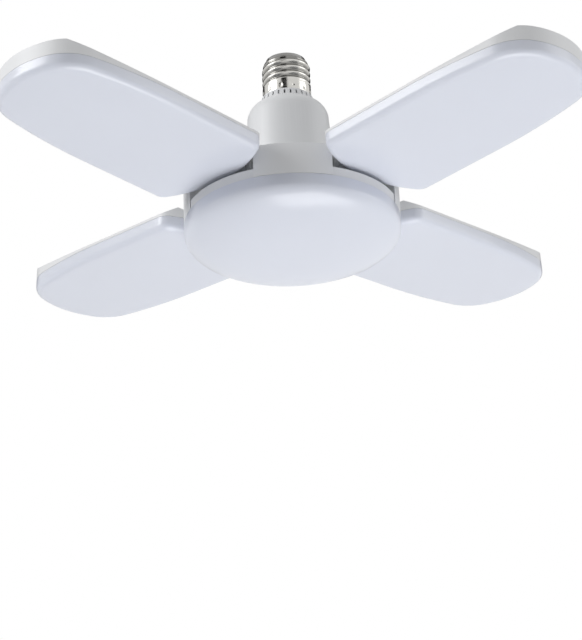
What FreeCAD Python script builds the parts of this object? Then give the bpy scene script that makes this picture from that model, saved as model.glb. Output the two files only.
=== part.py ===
import FreeCAD, Part
import math
import os
import Sketcher

# Deformable garage light: a round hub with an opal lens hangs from an E27 screw cap, and four
# flat LED leaves are hinged in bays of the hub, so that they spread out or fold up.
# Millimetres. The origin is the end of the cap's centre contact, on the lamp's axis, +Z up.
# Sketches use "levels": heights above the seam between the hub and its lens. Every hub piece is
# lowered by (neck_top + cap_height). A leaf is drawn along +X from the lamp's axis: X is the
# distance from the axis, Y is across the leaf.

V = FreeCAD.Vector
LEAF_TURNS = (0, 90, 180, 270)

SIZES = [
    # hub
    ("hub_radius", 57.3, "outer radius of the hub and its lens"),
    ("hub_wall", 2.0, "wall of the hub cover"),
    ("hub_wall_top", 17.5, "level where the upright wall turns into the shoulder"),
    ("hub_top", 28.5, "level of the top plate that carries the neck"),
    ("cover_hole", 17.0, "radius of the wiring hole in the top plate"),
    ("bay_depth", 25.8, "depth of a hinge bay, from the hub's outside to the bay's inner wall"),
    ("bay_half", 23.5, "half the width of a hinge bay"),
    ("floor_top", 5.0, "level of the floor and sill under the bays"),
    ("floor_thickness", 2.0, "thickness of that floor"),
    ("base_clearance", 0.2, "gap between the base ring and the cover wall"),
    ("sill_recess", 0.5, "how far the sill stands back from the cover"),
    ("wiring_hole", 9.0, "radius of the hole in the middle of the floor"),
    ("post_inset", 13.3, "how far inside the hub's radius the cover's screw posts stand"),
    ("post_radius", 3.4, "radius of a screw post"),
    ("hub_screw_radius", 1.5, "shank radius of the screws that join base and cover"),
    ("hub_screw_length", 9.0, "length of those screws"),
    ("hub_screw_head", 2.8, "head radius of those screws"),
    ("hub_screw_head_height", 1.0, "height of those screws' heads"),
    ("bore_spare", 0.5, "how much deeper a blind bore is than its screw"),
    ("screw_clearance", 0.1, "radial clearance round every screw shank"),
    # centre light
    ("board_thickness", 1.2, "thickness of the aluminium LED boards"),
    ("centre_board_gap", 2.6, "gap between the centre LED board and the base's rim"),
    ("led_length", 3.5, "length of one LED package"),
    ("led_width", 2.8, "width of one LED package"),
    ("led_height", 0.8, "height of one LED package"),
    ("led_inner_ring", 20.0, "radius of the inner ring of LEDs"),
    ("led_outer_ring", 39.0, "radius of the outer ring of LEDs"),
    ("led_inner_count", 8, "LEDs in the inner ring"),
    ("led_outer_count", 16, "LEDs in the outer ring"),
    ("lens_skirt", 5.5, "height of the centre lens's upright skirt"),
    ("lens_depth", 18.7, "depth of the centre lens from the seam to its lowest point"),
    ("lens_edge_radius", 6.5, "radius between the lens's skirt and its dome"),
    ("lens_wall", 1.8, "wall of the centre lens"),
    ("lens_lip", 1.5, "height of the lip that snaps inside the base ring"),
    ("lens_lip_wall", 1.4, "wall of that lip"),
    # neck
    ("neck_base_radius", 24.0, "outer radius of the neck where it meets the hub"),
    ("neck_wall", 2.0, "wall of the neck"),
    ("neck_top", 74.5, "level of the rim of the screw cap"),
    ("dome_radius", 21.9, "outer radius where the neck's shoulder begins"),
    ("dome_below_top", 12.0, "height of the shoulder and collar together"),
    ("dome_arc", 9.5, "radius of the rounded shoulder"),
    ("collar_radius", 15.2, "radius of the foot of the collar"),
    ("collar_top_radius", 13.9, "radius of the collar under the cap"),
    ("collar_height", 4.5, "height of the collar"),
    ("vent_count", 28, "vent slots round the collar"),
    ("vent_width", 0.9, "width of a vent slot"),
    ("vent_height", 2.7, "height of a vent slot"),
    ("vent_below_top", 1.0, "distance from the cap's rim down to the slots"),
    ("spigot_height", 6.0, "height of the spigot that the cap is crimped on"),
    ("spigot_wall", 1.6, "wall of the spigot"),
    ("spigot_clearance", 0.1, "gap between the spigot and the cap"),
    # screw cap
    ("cap_height", 28.0, "from the cap's rim to the end of the contact"),
    ("cap_radius", 13.1, "crest radius of the cap's thread"),
    ("cap_root_radius", 12.1, "root radius of the cap's thread"),
    ("cap_wall", 0.5, "metal thickness of the cap"),
    ("cap_skirt", 6.6, "height of the plain skirt below the thread"),
    ("thread_pitch", 3.63, "pitch of the cap's thread"),
    ("thread_turns", 4, "turns of the cap's thread"),
    ("insulator_radius", 10.4, "radius of the insulator where the shell grips it"),
    ("insulator_top_radius", 5.9, "radius of the insulator under the contact"),
    ("contact_radius", 4.8, "radius of the centre contact"),
    ("contact_height", 1.8, "height of the centre contact"),
    ("contact_stem", 2.8, "radius of the contact's rivet stem"),
    # driver
    ("driver_half_width", 19.3, "half the width of the driver board"),
    ("driver_top", 61.0, "level of the driver board's upper edge"),
    ("driver_thickness", 1.6, "thickness of the driver board"),
    ("capacitor_radius", 5.0, "radius of the electrolytic capacitor"),
    ("capacitor_length", 16.0, "length of the electrolytic capacitor"),
    ("capacitor_side", 6.0, "its distance from the lamp's axis"),
    ("capacitor_lift", 9.0, "its height above the board's lower edge"),
    ("inductor_radius", 5.5, "radius of the inductor's flanges"),
    ("inductor_length", 9.0, "length of the inductor"),
    ("inductor_waist", 4.4, "radius of the inductor's winding"),
    ("inductor_side", 8.0, "its distance from the lamp's axis"),
    ("inductor_lift", 3.0, "its height above the board's lower edge"),
    ("film_length", 10.0, "length of the film capacitor"),
    ("film_height", 9.0, "height of the film capacitor"),
    ("film_depth", 4.5, "depth of the film capacitor"),
    ("film_side", 13.0, "distance from the lamp's axis to its far edge"),
    ("film_lift", 4.0, "its height above the board's lower edge"),
    ("bridge_side", 6.4, "side of the bridge rectifier"),
    ("bridge_depth", 2.4, "thickness of the bridge rectifier"),
    ("bridge_at", 12.0, "distance from the lamp's axis to its far edge"),
    ("bridge_lift", 18.0, "its height above the board's lower edge"),
    ("chip_side", 5.0, "side of the control chip"),
    ("chip_depth", 1.6, "thickness of the control chip"),
    ("chip_at", 11.0, "distance from the lamp's axis to its far edge"),
    ("chip_lift", 6.0, "its height above the board's lower edge"),
    ("fuse_radius", 1.8, "radius of the fusible resistor"),
    ("fuse_length", 9.0, "length of the fusible resistor"),
    ("fuse_at", 8.0, "its distance from the lamp's axis"),
    ("fuse_lift", 19.0, "its height above the board's lower edge"),
    ("lead_radius", 0.7, "radius of the leads"),
    ("live_lead_at", 3.0, "distance from the lamp's axis to where the live lead leaves the board"),
    ("neutral_lead_at", 6.0, "the same for the neutral lead"),
    ("led_lead_at", 6.8, "the same for the leads to the LEDs"),
    ("lead_rise", 9.0, "height above the driver board where the cap's two leads first bend"),
    ("live_lead_run", 12.0, "length of the live lead's last run, under the contact"),
    ("neutral_lead_bend", 2.0, "height above the cap's rim where the neutral lead straightens"),
    ("neutral_lead_end", 14.0, "height above the cap's rim where the neutral lead is soldered"),
    ("led_lead_overlap", 4.0, "how far the LEDs' leads reach up the driver board"),
    ("led_lead_drop", 10.0, "depth below the driver board where the LEDs' leads first bend"),
    ("led_lead_run", 8.0, "length of their last run, above the centre board"),
    # leaf
    ("leaf_tilt", 3.0, "angle by which a spread leaf rises towards its tip"),
    ("leaf_front", 6.3, "level of a leaf's lit face"),
    ("leaf_offset", 7.1, "distance from the hinge pin to a leaf's inner end"),
    ("leaf_length", 138.4, "length of a leaf without its hinge arm"),
    ("leaf_half", 37.5, "half the width of a leaf"),
    ("root_arc", 70.0, "radius of the leaf's inner end"),
    ("root_corner", 7.0, "corner radius at the inner end"),
    ("tip_arc", 50.0, "radius of the leaf's outer end"),
    ("tip_corner", 23.5, "corner radius at the outer end"),
    ("side_arc", 280.0, "radius of the long sides towards the tip"),
    ("side_straight", 66.0, "distance from a leaf's inner end to where its sides begin to curve"),
    ("leaf_lens_height", 7.7, "height of a leaf's opal lens"),
    ("leaf_lens_edge", 3.0, "rounding of the lit face's edge"),
    ("leaf_lens_wall", 1.6, "wall of a leaf's opal lens"),
    ("parting_gap", 0.4, "gap line between lens and shell"),
    ("shell_height", 8.2, "height of a leaf's ribbed shell"),
    ("shell_wall", 5.0, "wall of the shell"),
    ("shell_cavity", 2.9, "depth of the shell's board recess"),
    ("side_slope", 11.5, "width of the sloping border along each side of the ribbed flat"),
    ("root_slope", 11.0, "width of the sloping border at the flat's inner end"),
    ("slope_drop", 6.7, "how far the sloping border falls to the leaf's outline"),
    ("groove_count", 10, "grooves between the ribs"),
    ("groove_pitch", 5.2, "distance between ribs"),
    ("groove_width", 2.6, "width of a groove"),
    ("groove_depth", 2.6, "depth of a groove"),
    ("groove_margin", 11.0, "distance from the grooves' outer ends to the leaf's tip"),
    ("boss_margin", 22.5, "distance from the leaf's end screw to its tip"),
    ("boss_radius", 5.0, "radius of the boss round the end screw"),
    ("end_screw_radius", 1.3, "shank radius of the end screw"),
    ("end_screw_head", 2.6, "head radius of the end screw"),
    ("end_screw_sink", 2.0, "depth of the end screw's recess"),
    ("end_screw_head_height", 1.4, "height of the end screw's head"),
    ("end_screw_end", 1.5, "height of the screw's end above the lens's floor"),
    ("lens_boss_radius", 3.0, "radius of the lens's screw post"),
    ("lens_boss_clearance", 0.4, "gap round that post in the LED board"),
    ("lens_boss_gap", 0.1, "gap between that post and the shell"),
    ("leaf_board_inset", 5.6, "how far the LED board stays inside the outline"),
    ("leaf_led_columns", 8, "LEDs along a leaf"),
    ("leaf_led_rows", 2, "LEDs across a leaf"),
    ("leaf_led_margin", 19.5, "distance from a leaf's inner end to its first LEDs"),
    ("leaf_led_pitch", 13.5, "distance between LEDs along a leaf"),
    ("leaf_led_spread", 30.0, "distance between the rows of LEDs"),
    # hinge
    ("hinge_inset", 15.3, "how far inside the hub's radius the hinge pins lie"),
    ("hinge_level", 14.5, "level of the hinge pins"),
    ("barrel_radius", 5.3, "radius of the leaf's hinge barrel"),
    ("barrel_half", 12.0, "half the length of the hinge barrel"),
    ("pin_radius", 2.0, "radius of the hinge pin"),
    ("pin_clearance", 0.05, "radial running clearance of the pin in the barrel"),
    ("pin_head", 3.6, "radius of the pin's head"),
    ("pin_head_height", 2.2, "height of the pin's head and of its nut"),
    ("pin_head_gap", 0.1, "gap between an ear and the pin's head or nut"),
    ("washer_radius", 4.8, "radius of a friction washer"),
    ("washer_thickness", 0.8, "thickness of a friction washer"),
    ("washer_gap", 0.1, "gap on each side of a friction washer"),
    ("ear_thickness", 3.2, "thickness of a hinge bracket's ear"),
    ("ear_radius", 5.0, "radius of the top of an ear"),
    ("foot_height", 1.6, "thickness of a hinge bracket's foot"),
    ("peg_radius", 1.4, "radius of the pegs that locate a bracket in the floor"),
    ("arm_top", 19.2, "level of the top of the leaf's arm"),
]


class Size:
    """A length from the sheet, or one worked out from such lengths, with its expression."""

    def __init__(self, value, text):
        self.value = value
        self.text = text

    def __add__(self, other):
        other = size(other)
        return Size(self.value + other.value, f"({self.text} + {other.text})")

    def __sub__(self, other):
        other = size(other)
        return Size(self.value - other.value, f"({self.text} - {other.text})")

    def __mul__(self, other):
        other = size(other)
        return Size(self.value * other.value, f"({self.text} * {other.text})")

    def __truediv__(self, other):
        other = size(other)
        return Size(self.value / other.value, f"({self.text} / {other.text})")

    def __neg__(self):
        return size(0) - self


def size(number):
    """Gives a plain number the form of a Size."""
    return number if isinstance(number, Size) else Size(number, repr(number))


def root(number):
    """Square root of a Size."""
    return Size(math.sqrt(number.value), f"sqrt({number.text})")


def leg(hypotenuse, other):
    """Third side of a right-angled triangle."""
    return root(hypotenuse * hypotenuse - other * other)


def make_sheet(doc):
    """Writes the driving dimensions into the sheet and returns them by name."""
    sheet = doc.addObject("Spreadsheet::Sheet", "Sizes")
    named = {}
    for row, (name, value, meaning) in enumerate(SIZES, start=1):
        sheet.set(f"A{row}", name)
        sheet.set(f"B{row}", str(value))
        sheet.set(f"C{row}", meaning)
        sheet.setAlias(f"B{row}", name)
        named[name] = Size(value, f"Sizes.{name}")
    return named


DOC = FreeCAD.newDocument("garage_light")
S = make_sheet(DOC)
DOC.recompute()


# ---------------------------------------------------------------- lengths worked out once

SEAM_DROP = S["neck_top"] + S["cap_height"]
BASE_RADIUS = S["hub_radius"] - S["hub_wall"] - S["base_clearance"]
FLOOR_UNDER = S["floor_top"] - S["floor_thickness"]
CENTRE_BOARD_UNDER = FLOOR_UNDER - S["board_thickness"]
POST_RING = S["hub_radius"] - S["post_inset"]
BAY_INNER = S["hub_radius"] - S["bay_depth"]
HINGE_X = S["hub_radius"] - S["hinge_inset"]
DOME_LEVEL = S["neck_top"] - S["dome_below_top"]
COLLAR_LEVEL = S["neck_top"] - S["collar_height"]
SPIGOT_RADIUS = S["cap_radius"] - S["cap_wall"] - S["spigot_clearance"]
SHELL_UNDER = S["leaf_front"] + S["leaf_lens_height"] + S["parting_gap"]
SHELL_TOP = SHELL_UNDER + S["shell_height"]
SHELL_ROOF = SHELL_UNDER + S["shell_cavity"]
LEAF_BOARD_UNDER = SHELL_ROOF - S["board_thickness"]
LEAF_ROOT = HINGE_X + S["leaf_offset"]
LEAF_TIP = LEAF_ROOT + S["leaf_length"]
SIDE_ARC_START = LEAF_ROOT + S["side_straight"]
ARM_END = LEAF_ROOT + S["shell_wall"]
BOSS_X = LEAF_TIP - S["boss_margin"]
EAR_INNER = S["barrel_half"] + S["washer_thickness"] + S["washer_gap"] * 2
EAR_OUTER = EAR_INNER + S["ear_thickness"]
PEG_Y = EAR_INNER + S["ear_thickness"] / 2
OVERRUN = size(2.0)      # how far a cutting profile reaches past the solid


# ---------------------------------------------------------------- sketching helpers

def new_body(label):
    """A body for one sub-part."""
    body = DOC.addObject("PartDesign::Body", label)
    body.Label = label
    return body


def new_sketch(body, role, name, level=None):
    """A sketch on one of the body's own planes, raised to a level if one is given."""
    sketch = body.newObject("Sketcher::SketchObject", name)
    plane = [item for item in body.Origin.OriginFeatures if item.Role == role][0]
    sketch.AttachmentSupport = (plane, [""])
    sketch.MapMode = "FlatFace"
    if level is not None:
        sketch.AttachmentOffset = FreeCAD.Placement(V(0, 0, level.value), FreeCAD.Rotation())
        sketch.setExpression("AttachmentOffset.Base.z", level.text)
    return sketch


class Rules:
    """Collects a sketch's constraints, then adds them with their expressions."""

    def __init__(self, sketch):
        self.sketch = sketch
        self.items = []

    def add(self, *arguments, bound=None):
        values = [argument.value if isinstance(argument, Size) else argument
                  for argument in arguments]
        self.items.append((Sketcher.Constraint(*values), bound))

    def length(self, kind, *where, number):
        self.add(kind, *where, number, bound=number)

    def along(self, kind, geometry, point, number):
        """Holds one coordinate of a point, measured from the sketch's origin."""
        number = size(number)
        if number.value == 0:
            axis = -2 if kind == "DistanceX" else -1
            self.add("PointOnObject", geometry, point, axis)
        elif number.value > 0:
            self.length(kind, -1, 1, geometry, point, number=number)
        else:
            self.length(kind, geometry, point, -1, 1, number=-number)

    def pin(self, geometry, point, x, y):
        self.along("DistanceX", geometry, point, x)
        self.along("DistanceY", geometry, point, y)

    def close(self):
        first = self.sketch.ConstraintCount
        self.sketch.addConstraint([item[0] for item in self.items])
        for offset, (_, bound) in enumerate(self.items):
            if bound is not None:
                self.sketch.setExpression(f"Constraints[{first + offset}]", bound.text)


def point(x, y):
    return V(size(x).value, size(y).value, 0)


def start_point(sketch, geometry, corner):
    """1 if the edge's own start lies at the corner, 2 if its end does."""
    return 1 if sketch.getPoint(geometry, 1).distanceToPoint(corner) < 1e-6 else 2


def draw_loop(sketch, corners):
    """Closed loop of lines and arcs. A corner is (x, y), or (x, y, radius, side) where the edge
    that leaves it is an arc of that radius, bulging to the left (1) or the right (-1)."""
    first = sketch.GeometryCount
    count = len(corners)
    rules = Rules(sketch)
    ends = []
    for index, corner in enumerate(corners):
        here = point(*corner[:2])
        there = point(*corners[(index + 1) % count][:2])
        if len(corner) == 2:
            sketch.addGeometry(Part.LineSegment(here, there))
        else:
            radius, side = corner[2:]
            chord = there - here
            half = chord.Length / 2
            rise = radius.value - math.sqrt(radius.value ** 2 - half ** 2)
            left = V(-chord.y, chord.x, 0).normalize()
            middle = (here + there) * 0.5 + left * (side * rise)
            sketch.addGeometry(Part.Arc(here, middle, there))
            rules.length("Radius", first + index, number=radius)
        begin = start_point(sketch, first + index, here)
        ends.append((begin, 3 - begin))
        rules.pin(first + index, begin, *corner[:2])
    for index in range(count):
        after = (index + 1) % count
        rules.add("Coincident", first + index, ends[index][1], first + after, ends[after][0])
    rules.close()


def draw_circle(sketch, x, y, radius):
    geometry = sketch.addGeometry(Part.Circle(point(x, y), V(0, 0, 1), radius.value))
    rules = Rules(sketch)
    rules.pin(geometry, 3, x, y)
    rules.length("Radius", geometry, number=radius)
    rules.close()


def rectangle(x_low, y_low, x_high, y_high):
    return [(x_low, y_low), (x_high, y_low), (x_high, y_high), (x_low, y_high)]


# ---------------------------------------------------------------- feature helpers

def revolve(body, sketch):
    """Turns a profile drawn on the XZ plane round the body's Z axis."""
    feature = body.newObject("PartDesign::Revolution", sketch.Name + "_turned")
    feature.Profile = sketch
    feature.ReferenceAxis = (sketch, ["V_Axis"])
    feature.Angle = 360
    return feature


def pad(body, sketch, length, both_ways=False):
    feature = body.newObject("PartDesign::Pad", sketch.Name + "_pad")
    feature.Profile = sketch
    feature.SideType = "Symmetric" if both_ways else "One side"
    feature.setExpression("Length", length.text)
    return feature


def cut(body, sketch, length=None, upwards=False):
    """A pocket of a given depth, or right through both ways where no depth is given."""
    feature = body.newObject("PartDesign::Pocket", sketch.Name + "_cut")
    feature.Profile = sketch
    if length is None:
        feature.SideType = "Symmetric"
        feature.Type = "ThroughAll"
    else:
        feature.Reversed = upwards
        feature.setExpression("Length", length.text)
    return feature


def cut_across(body, sketch, width):
    """A pocket of a given width, half to each side of its sketch."""
    feature = body.newObject("PartDesign::Pocket", sketch.Name + "_cut")
    feature.Profile = sketch
    feature.SideType = "Symmetric"
    feature.setExpression("Length", width.text)
    return feature


def around(body, features, count):
    """Repeats features round the body's Z axis."""
    pattern = body.newObject("PartDesign::PolarPattern", features[0].Name + "_around")
    pattern.Originals = features
    axis = [item for item in body.Origin.OriginFeatures if item.Role == "Z_Axis"][0]
    pattern.Axis = (axis, [""])
    pattern.Angle = 360
    pattern.setExpression("Occurrences", size(count).text)
    body.Tip = pattern
    return pattern


def flat_faces(shape, level):
    """Names of the level faces that lie at a level."""
    names = []
    for number, face in enumerate(shape.Faces, start=1):
        flat = isinstance(face.Surface, Part.Plane) and abs(face.normalAt(0, 0).z) > 0.999
        if flat and abs(face.BoundBox.ZMin - level.value) < 1e-3:
            names.append(f"Face{number}")
    return names


def outer_edges(shape, level):
    """Names of the edges round the outside of the one level face at a level."""
    name = flat_faces(shape, level)[0]
    face = shape.getElement(name)
    names = []
    for edge in face.OuterWire.Edges:
        for number, other in enumerate(shape.Edges, start=1):
            if other.isSame(edge):
                names.append(f"Edge{number}")
    return names


def round_edges(body, base, names, radius):
    feature = body.newObject("PartDesign::Fillet", base.Name + "_rounded")
    feature.Base = (base, names)
    feature.setExpression("Radius", radius.text)
    return feature


HUB_PLACE = f"placement(vector(0; 0; -{SEAM_DROP.text}); rotation(vector(0; 0; 1); 0))"


def place_on_hub(item):
    item.setExpression("Placement", HUB_PLACE)


def turn_text(turn):
    return f"placement(vector(0; 0; -{SEAM_DROP.text}); rotation(vector(0; 0; 1); {turn}))"


def place_in_bay(item, turn):
    """Puts a piece that stays on the hub into the bay at one turn."""
    item.setExpression("Placement", turn_text(turn))


def place_on_leaf(item, turn):
    """Puts a leaf's piece into its bay, raised by the leaf's tilt about its hinge pin."""
    x, z = HINGE_X.text, S["hinge_level"].text
    out = f"placement(vector({x}; 0; {z}); rotation(vector(0; 1; 0); -{S['leaf_tilt'].text}))"
    back = f"placement(vector(-{x}; 0; -{z}); rotation(vector(0; 1; 0); 0))"
    item.setExpression("Placement", f"{turn_text(turn)} * {out} * {back}")


def solid_group(label, solids):
    """One sub-part made of separate like solids."""
    item = DOC.addObject("Part::Feature", label)
    item.Label = label
    item.Shape = Part.makeCompound(solids)
    return item


# ---------------------------------------------------------------- screw cap

def cap_levels():
    """Level where the shell's thread ends, and the level of its turned-in lip."""
    top = S["neck_top"] + S["cap_skirt"] + S["thread_pitch"] * int(S["thread_turns"].value)
    return top, top + (S["cap_radius"] - S["insulator_radius"])


def make_cap_shell():
    """Thin metal shell: plain skirt, rolled thread bands, and a rim turned in on the insulator."""
    body = new_body("cap_shell")
    sketch = new_sketch(body, "XZ_Plane", "cap_profile")
    crest, valley, wall = S["cap_radius"], S["cap_root_radius"], S["cap_wall"]
    level = S["neck_top"]
    corners = [(crest - wall, level), (crest, level), (crest, level + S["cap_skirt"])]
    level = level + S["cap_skirt"]
    top, lip = cap_levels()
    half_pitch = S["thread_pitch"] / 2
    for turn in range(int(S["thread_turns"].value)):
        corners.append((valley, level + half_pitch * (2 * turn + 1)))
        corners.append((crest, level + half_pitch * (2 * turn + 2)))
    inside = valley - wall
    corners += [(S["insulator_radius"], lip), (S["insulator_radius"] - wall, lip)]
    corners += [(S["insulator_radius"] - wall, top), (inside, top - wall)]
    corners += [(inside, level + wall), (crest - wall, level)]
    draw_loop(sketch, corners)
    revolve(body, sketch)
    place_on_hub(body)
    return body


def make_cap_insulator():
    """Ring of glass between the shell and the centre contact."""
    body = new_body("cap_insulator")
    sketch = new_sketch(body, "XZ_Plane", "insulator_profile")
    top, lip = cap_levels()
    inner = S["contact_stem"]
    under_contact = SEAM_DROP - S["contact_height"]
    draw_loop(sketch, [
        (inner, top), (S["insulator_radius"] - S["cap_wall"], top),
        (S["insulator_radius"] - S["cap_wall"], lip),
        (S["insulator_top_radius"], under_contact), (inner, under_contact)])
    revolve(body, sketch)
    place_on_hub(body)
    return body


def make_centre_contact():
    """Flat-topped contact with a rivet stem through the insulator."""
    body = new_body("centre_contact")
    sketch = new_sketch(body, "XZ_Plane", "contact_profile")
    top, _ = cap_levels()
    stem = S["contact_stem"]
    under = SEAM_DROP - S["contact_height"]
    draw_loop(sketch, [
        (0, top), (stem, top), (stem, under), (S["contact_radius"], under),
        (S["contact_radius"], SEAM_DROP), (0, SEAM_DROP)])
    revolve(body, sketch)
    place_on_hub(body)
    return body


# ---------------------------------------------------------------- hub

def make_neck_housing():
    """Hollow neck: a slightly conical tube, a rounded shoulder, a collar with vent slots, and
    the spigot that carries the screw cap."""
    body = new_body("neck_housing")
    sketch = new_sketch(body, "XZ_Plane", "neck_profile")
    wall, spigot_wall = S["neck_wall"], S["spigot_wall"]
    spigot_top = S["neck_top"] + S["spigot_height"]
    draw_loop(sketch, [
        (S["neck_base_radius"] - wall, S["hub_top"]), (S["neck_base_radius"], S["hub_top"]),
        (S["dome_radius"], DOME_LEVEL, S["dome_arc"], -1),
        (S["collar_radius"], COLLAR_LEVEL), (S["collar_top_radius"], S["neck_top"]),
        (SPIGOT_RADIUS, S["neck_top"]), (SPIGOT_RADIUS, spigot_top),
        (SPIGOT_RADIUS - spigot_wall, spigot_top),
        (SPIGOT_RADIUS - spigot_wall, S["neck_top"]),
        (S["collar_radius"] - wall, COLLAR_LEVEL - wall, S["dome_arc"] - wall, 1),
        (S["dome_radius"] - wall, DOME_LEVEL)])
    revolve(body, sketch)
    slots = new_sketch(body, "YZ_Plane", "vent_slot")
    high = S["neck_top"] - S["vent_below_top"]
    half = S["vent_width"] / 2
    draw_loop(slots, rectangle(-half, high - S["vent_height"], half, high))
    slot = cut(body, slots, S["dome_radius"], upwards=True)
    DOC.recompute()
    around(body, [slot], S["vent_count"])
    place_on_hub(body)
    return body


def make_hub_cover():
    """Moulded cover: upright wall and conical shoulder, cut by four hinge bays with walls of
    their own, a top plate for the neck, and a screw post in each block between the bays."""
    body = new_body("hub_cover")
    wall, half = S["hub_wall"], S["bay_half"]
    slope = (S["hub_top"] - S["hub_wall_top"]) / (S["hub_radius"] - S["neck_base_radius"])
    steep = root(slope * slope + 1) * wall
    sketch = new_sketch(body, "XZ_Plane", "cover_profile")
    knee = S["hub_wall_top"] - steep + slope * wall
    flat = S["neck_base_radius"] + (wall - steep) / slope
    draw_loop(sketch, [
        (S["hub_radius"] - wall, 0), (S["hub_radius"], 0),
        (S["hub_radius"], S["hub_wall_top"]), (S["neck_base_radius"], S["hub_top"]),
        (S["cover_hole"], S["hub_top"]), (S["cover_hole"], S["hub_top"] - wall),
        (flat, S["hub_top"] - wall), (S["hub_radius"] - wall, knee)])
    revolve(body, sketch)
    blocks = new_sketch(body, "XY_Plane", "bay_walls", S["floor_top"])
    reach = leg(S["hub_radius"] - wall / 2, half + wall)
    draw_loop(blocks, rectangle(BAY_INNER - wall, -half - wall, reach, half + wall))
    block = pad(body, blocks, S["hub_top"] - S["floor_top"])
    posts = new_sketch(body, "XY_Plane", "posts", S["floor_top"])
    across = POST_RING / math.sqrt(2)
    draw_circle(posts, across, across, S["post_radius"])
    post = pad(body, posts, S["hub_top"] - S["floor_top"])
    DOC.recompute()
    around(body, [block, post], len(LEAF_TURNS))
    trim = new_sketch(body, "XZ_Plane", "shoulder_trim")
    edge = S["hub_radius"] + OVERRUN
    draw_loop(trim, [
        (edge, S["hub_wall_top"] - slope * OVERRUN), (edge, S["hub_top"] + OVERRUN),
        (S["neck_base_radius"], S["hub_top"] + OVERRUN), (S["neck_base_radius"], S["hub_top"])])
    shoulder = body.newObject("PartDesign::Groove", "shoulder")
    shoulder.Profile = trim
    shoulder.ReferenceAxis = (trim, ["V_Axis"])
    shoulder.Angle = 360
    bays = new_sketch(body, "XY_Plane", "bays")
    draw_loop(bays, rectangle(BAY_INNER, -half, edge, half))
    bay = cut(body, bays)
    bores = new_sketch(body, "XY_Plane", "post_bores", S["floor_top"])
    draw_circle(bores, across, across, S["hub_screw_radius"] + S["screw_clearance"])
    depth = S["hub_screw_length"] - S["floor_thickness"] + S["bore_spare"]
    bore = cut(body, bores, depth, upwards=True)
    DOC.recompute()
    around(body, [bay, bore], len(LEAF_TURNS))
    place_on_hub(body)
    return body


def make_hub_base():
    """Tray under the cover: floor, rim, a sill in each bay, and the holes for the screws, the
    hinge brackets' pegs and the wiring."""
    body = new_body("hub_base")
    sketch = new_sketch(body, "XY_Plane", "tray")
    draw_circle(sketch, 0, 0, BASE_RADIUS)
    pad(body, sketch, S["floor_top"])
    under = new_sketch(body, "XY_Plane", "tray_recess")
    draw_circle(under, 0, 0, BASE_RADIUS - S["hub_wall"])
    cut(body, under, FLOOR_UNDER, upwards=True)
    sill_radius = S["hub_radius"] - S["sill_recess"]
    half = S["bay_half"] - S["base_clearance"]
    sill = new_sketch(body, "XY_Plane", "sill")
    rim_middle = BASE_RADIUS - S["hub_wall"] / 2
    near = leg(rim_middle, half)
    draw_loop(sill, [
        (near, -half), (leg(sill_radius, half), -half, sill_radius, -1),
        (leg(sill_radius, half), half), (near, half, rim_middle, 1)])
    sill_pad = pad(body, sill, S["floor_top"])
    holes = new_sketch(body, "XY_Plane", "screw_holes")
    across = POST_RING / math.sqrt(2)
    draw_circle(holes, across, across, S["hub_screw_radius"] + S["screw_clearance"])
    for side in (-1, 1):
        draw_circle(holes, HINGE_X, PEG_Y * side, S["peg_radius"] + S["screw_clearance"])
    screw_hole = cut(body, holes)
    DOC.recompute()
    around(body, [sill_pad, screw_hole], len(LEAF_TURNS))
    middle = new_sketch(body, "XY_Plane", "wiring_hole")
    draw_circle(middle, 0, 0, S["wiring_hole"])
    cut(body, middle)
    place_on_hub(body)
    return body


def make_hub_screws():
    """Four pan-head screws that hold the base to the cover's posts, heads below the floor."""
    head = S["hub_screw_head_height"].value
    screws = []
    for turn in LEAF_TURNS:
        angle = math.radians(turn + 45)
        x = POST_RING.value * math.cos(angle)
        y = POST_RING.value * math.sin(angle)
        under = FLOOR_UNDER.value
        shank = Part.makeCylinder(S["hub_screw_radius"].value,
                                  S["hub_screw_length"].value, V(x, y, under))
        cap = Part.makeCylinder(S["hub_screw_head"].value, head, V(x, y, under - head))
        screws.append(shank.fuse(cap).removeSplitter())
    item = solid_group("hub_screws", screws)
    place_on_hub(item)
    return item


def make_centre_board():
    """Round aluminium board under the floor, with holes for the hub screws' heads."""
    body = new_body("centre_board")
    sketch = new_sketch(body, "XY_Plane", "centre_board_outline", CENTRE_BOARD_UNDER)
    draw_circle(sketch, 0, 0, BASE_RADIUS - S["hub_wall"] - S["centre_board_gap"])
    draw_circle(sketch, 0, 0, S["wiring_hole"] / 2)
    across = POST_RING / math.sqrt(2)
    for x_side in (-1, 1):
        for y_side in (-1, 1):
            draw_circle(sketch, across * x_side, across * y_side,
                        S["hub_screw_head"] + S["screw_clearance"] * 3)
    pad(body, sketch, S["board_thickness"])
    place_on_hub(body)
    return body


def led_box(x, y, top, turn):
    """One LED package hanging from a board's underside."""
    length, width, height = (S[name].value for name in ("led_length", "led_width", "led_height"))
    box = Part.makeBox(length, width, height, V(-length / 2, -width / 2, -height))
    box.rotate(V(0, 0, 0), V(0, 0, 1), turn)
    box.translate(V(x, y, top))
    return box


def make_centre_leds():
    """Two rings of LED packages on the centre board."""
    boxes = []
    for ring in ("inner", "outer"):
        radius = S[f"led_{ring}_ring"].value
        count = int(S[f"led_{ring}_count"].value)
        for number in range(count):
            turn = 360 * number / count
            angle = math.radians(turn)
            boxes.append(led_box(radius * math.cos(angle), radius * math.sin(angle),
                                 CENTRE_BOARD_UNDER.value, turn + 90))
    item = solid_group("centre_leds", boxes)
    place_on_hub(item)
    return item


def lens_dome_radius():
    """Radius of the shallow dome that runs smoothly into the lens's rounded edge."""
    edge = S["lens_edge_radius"]
    reach = S["hub_radius"] - edge
    rise = S["lens_depth"] - S["lens_skirt"]
    return (reach * reach - edge * edge + rise * rise) / ((rise - edge) * 2)


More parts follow.
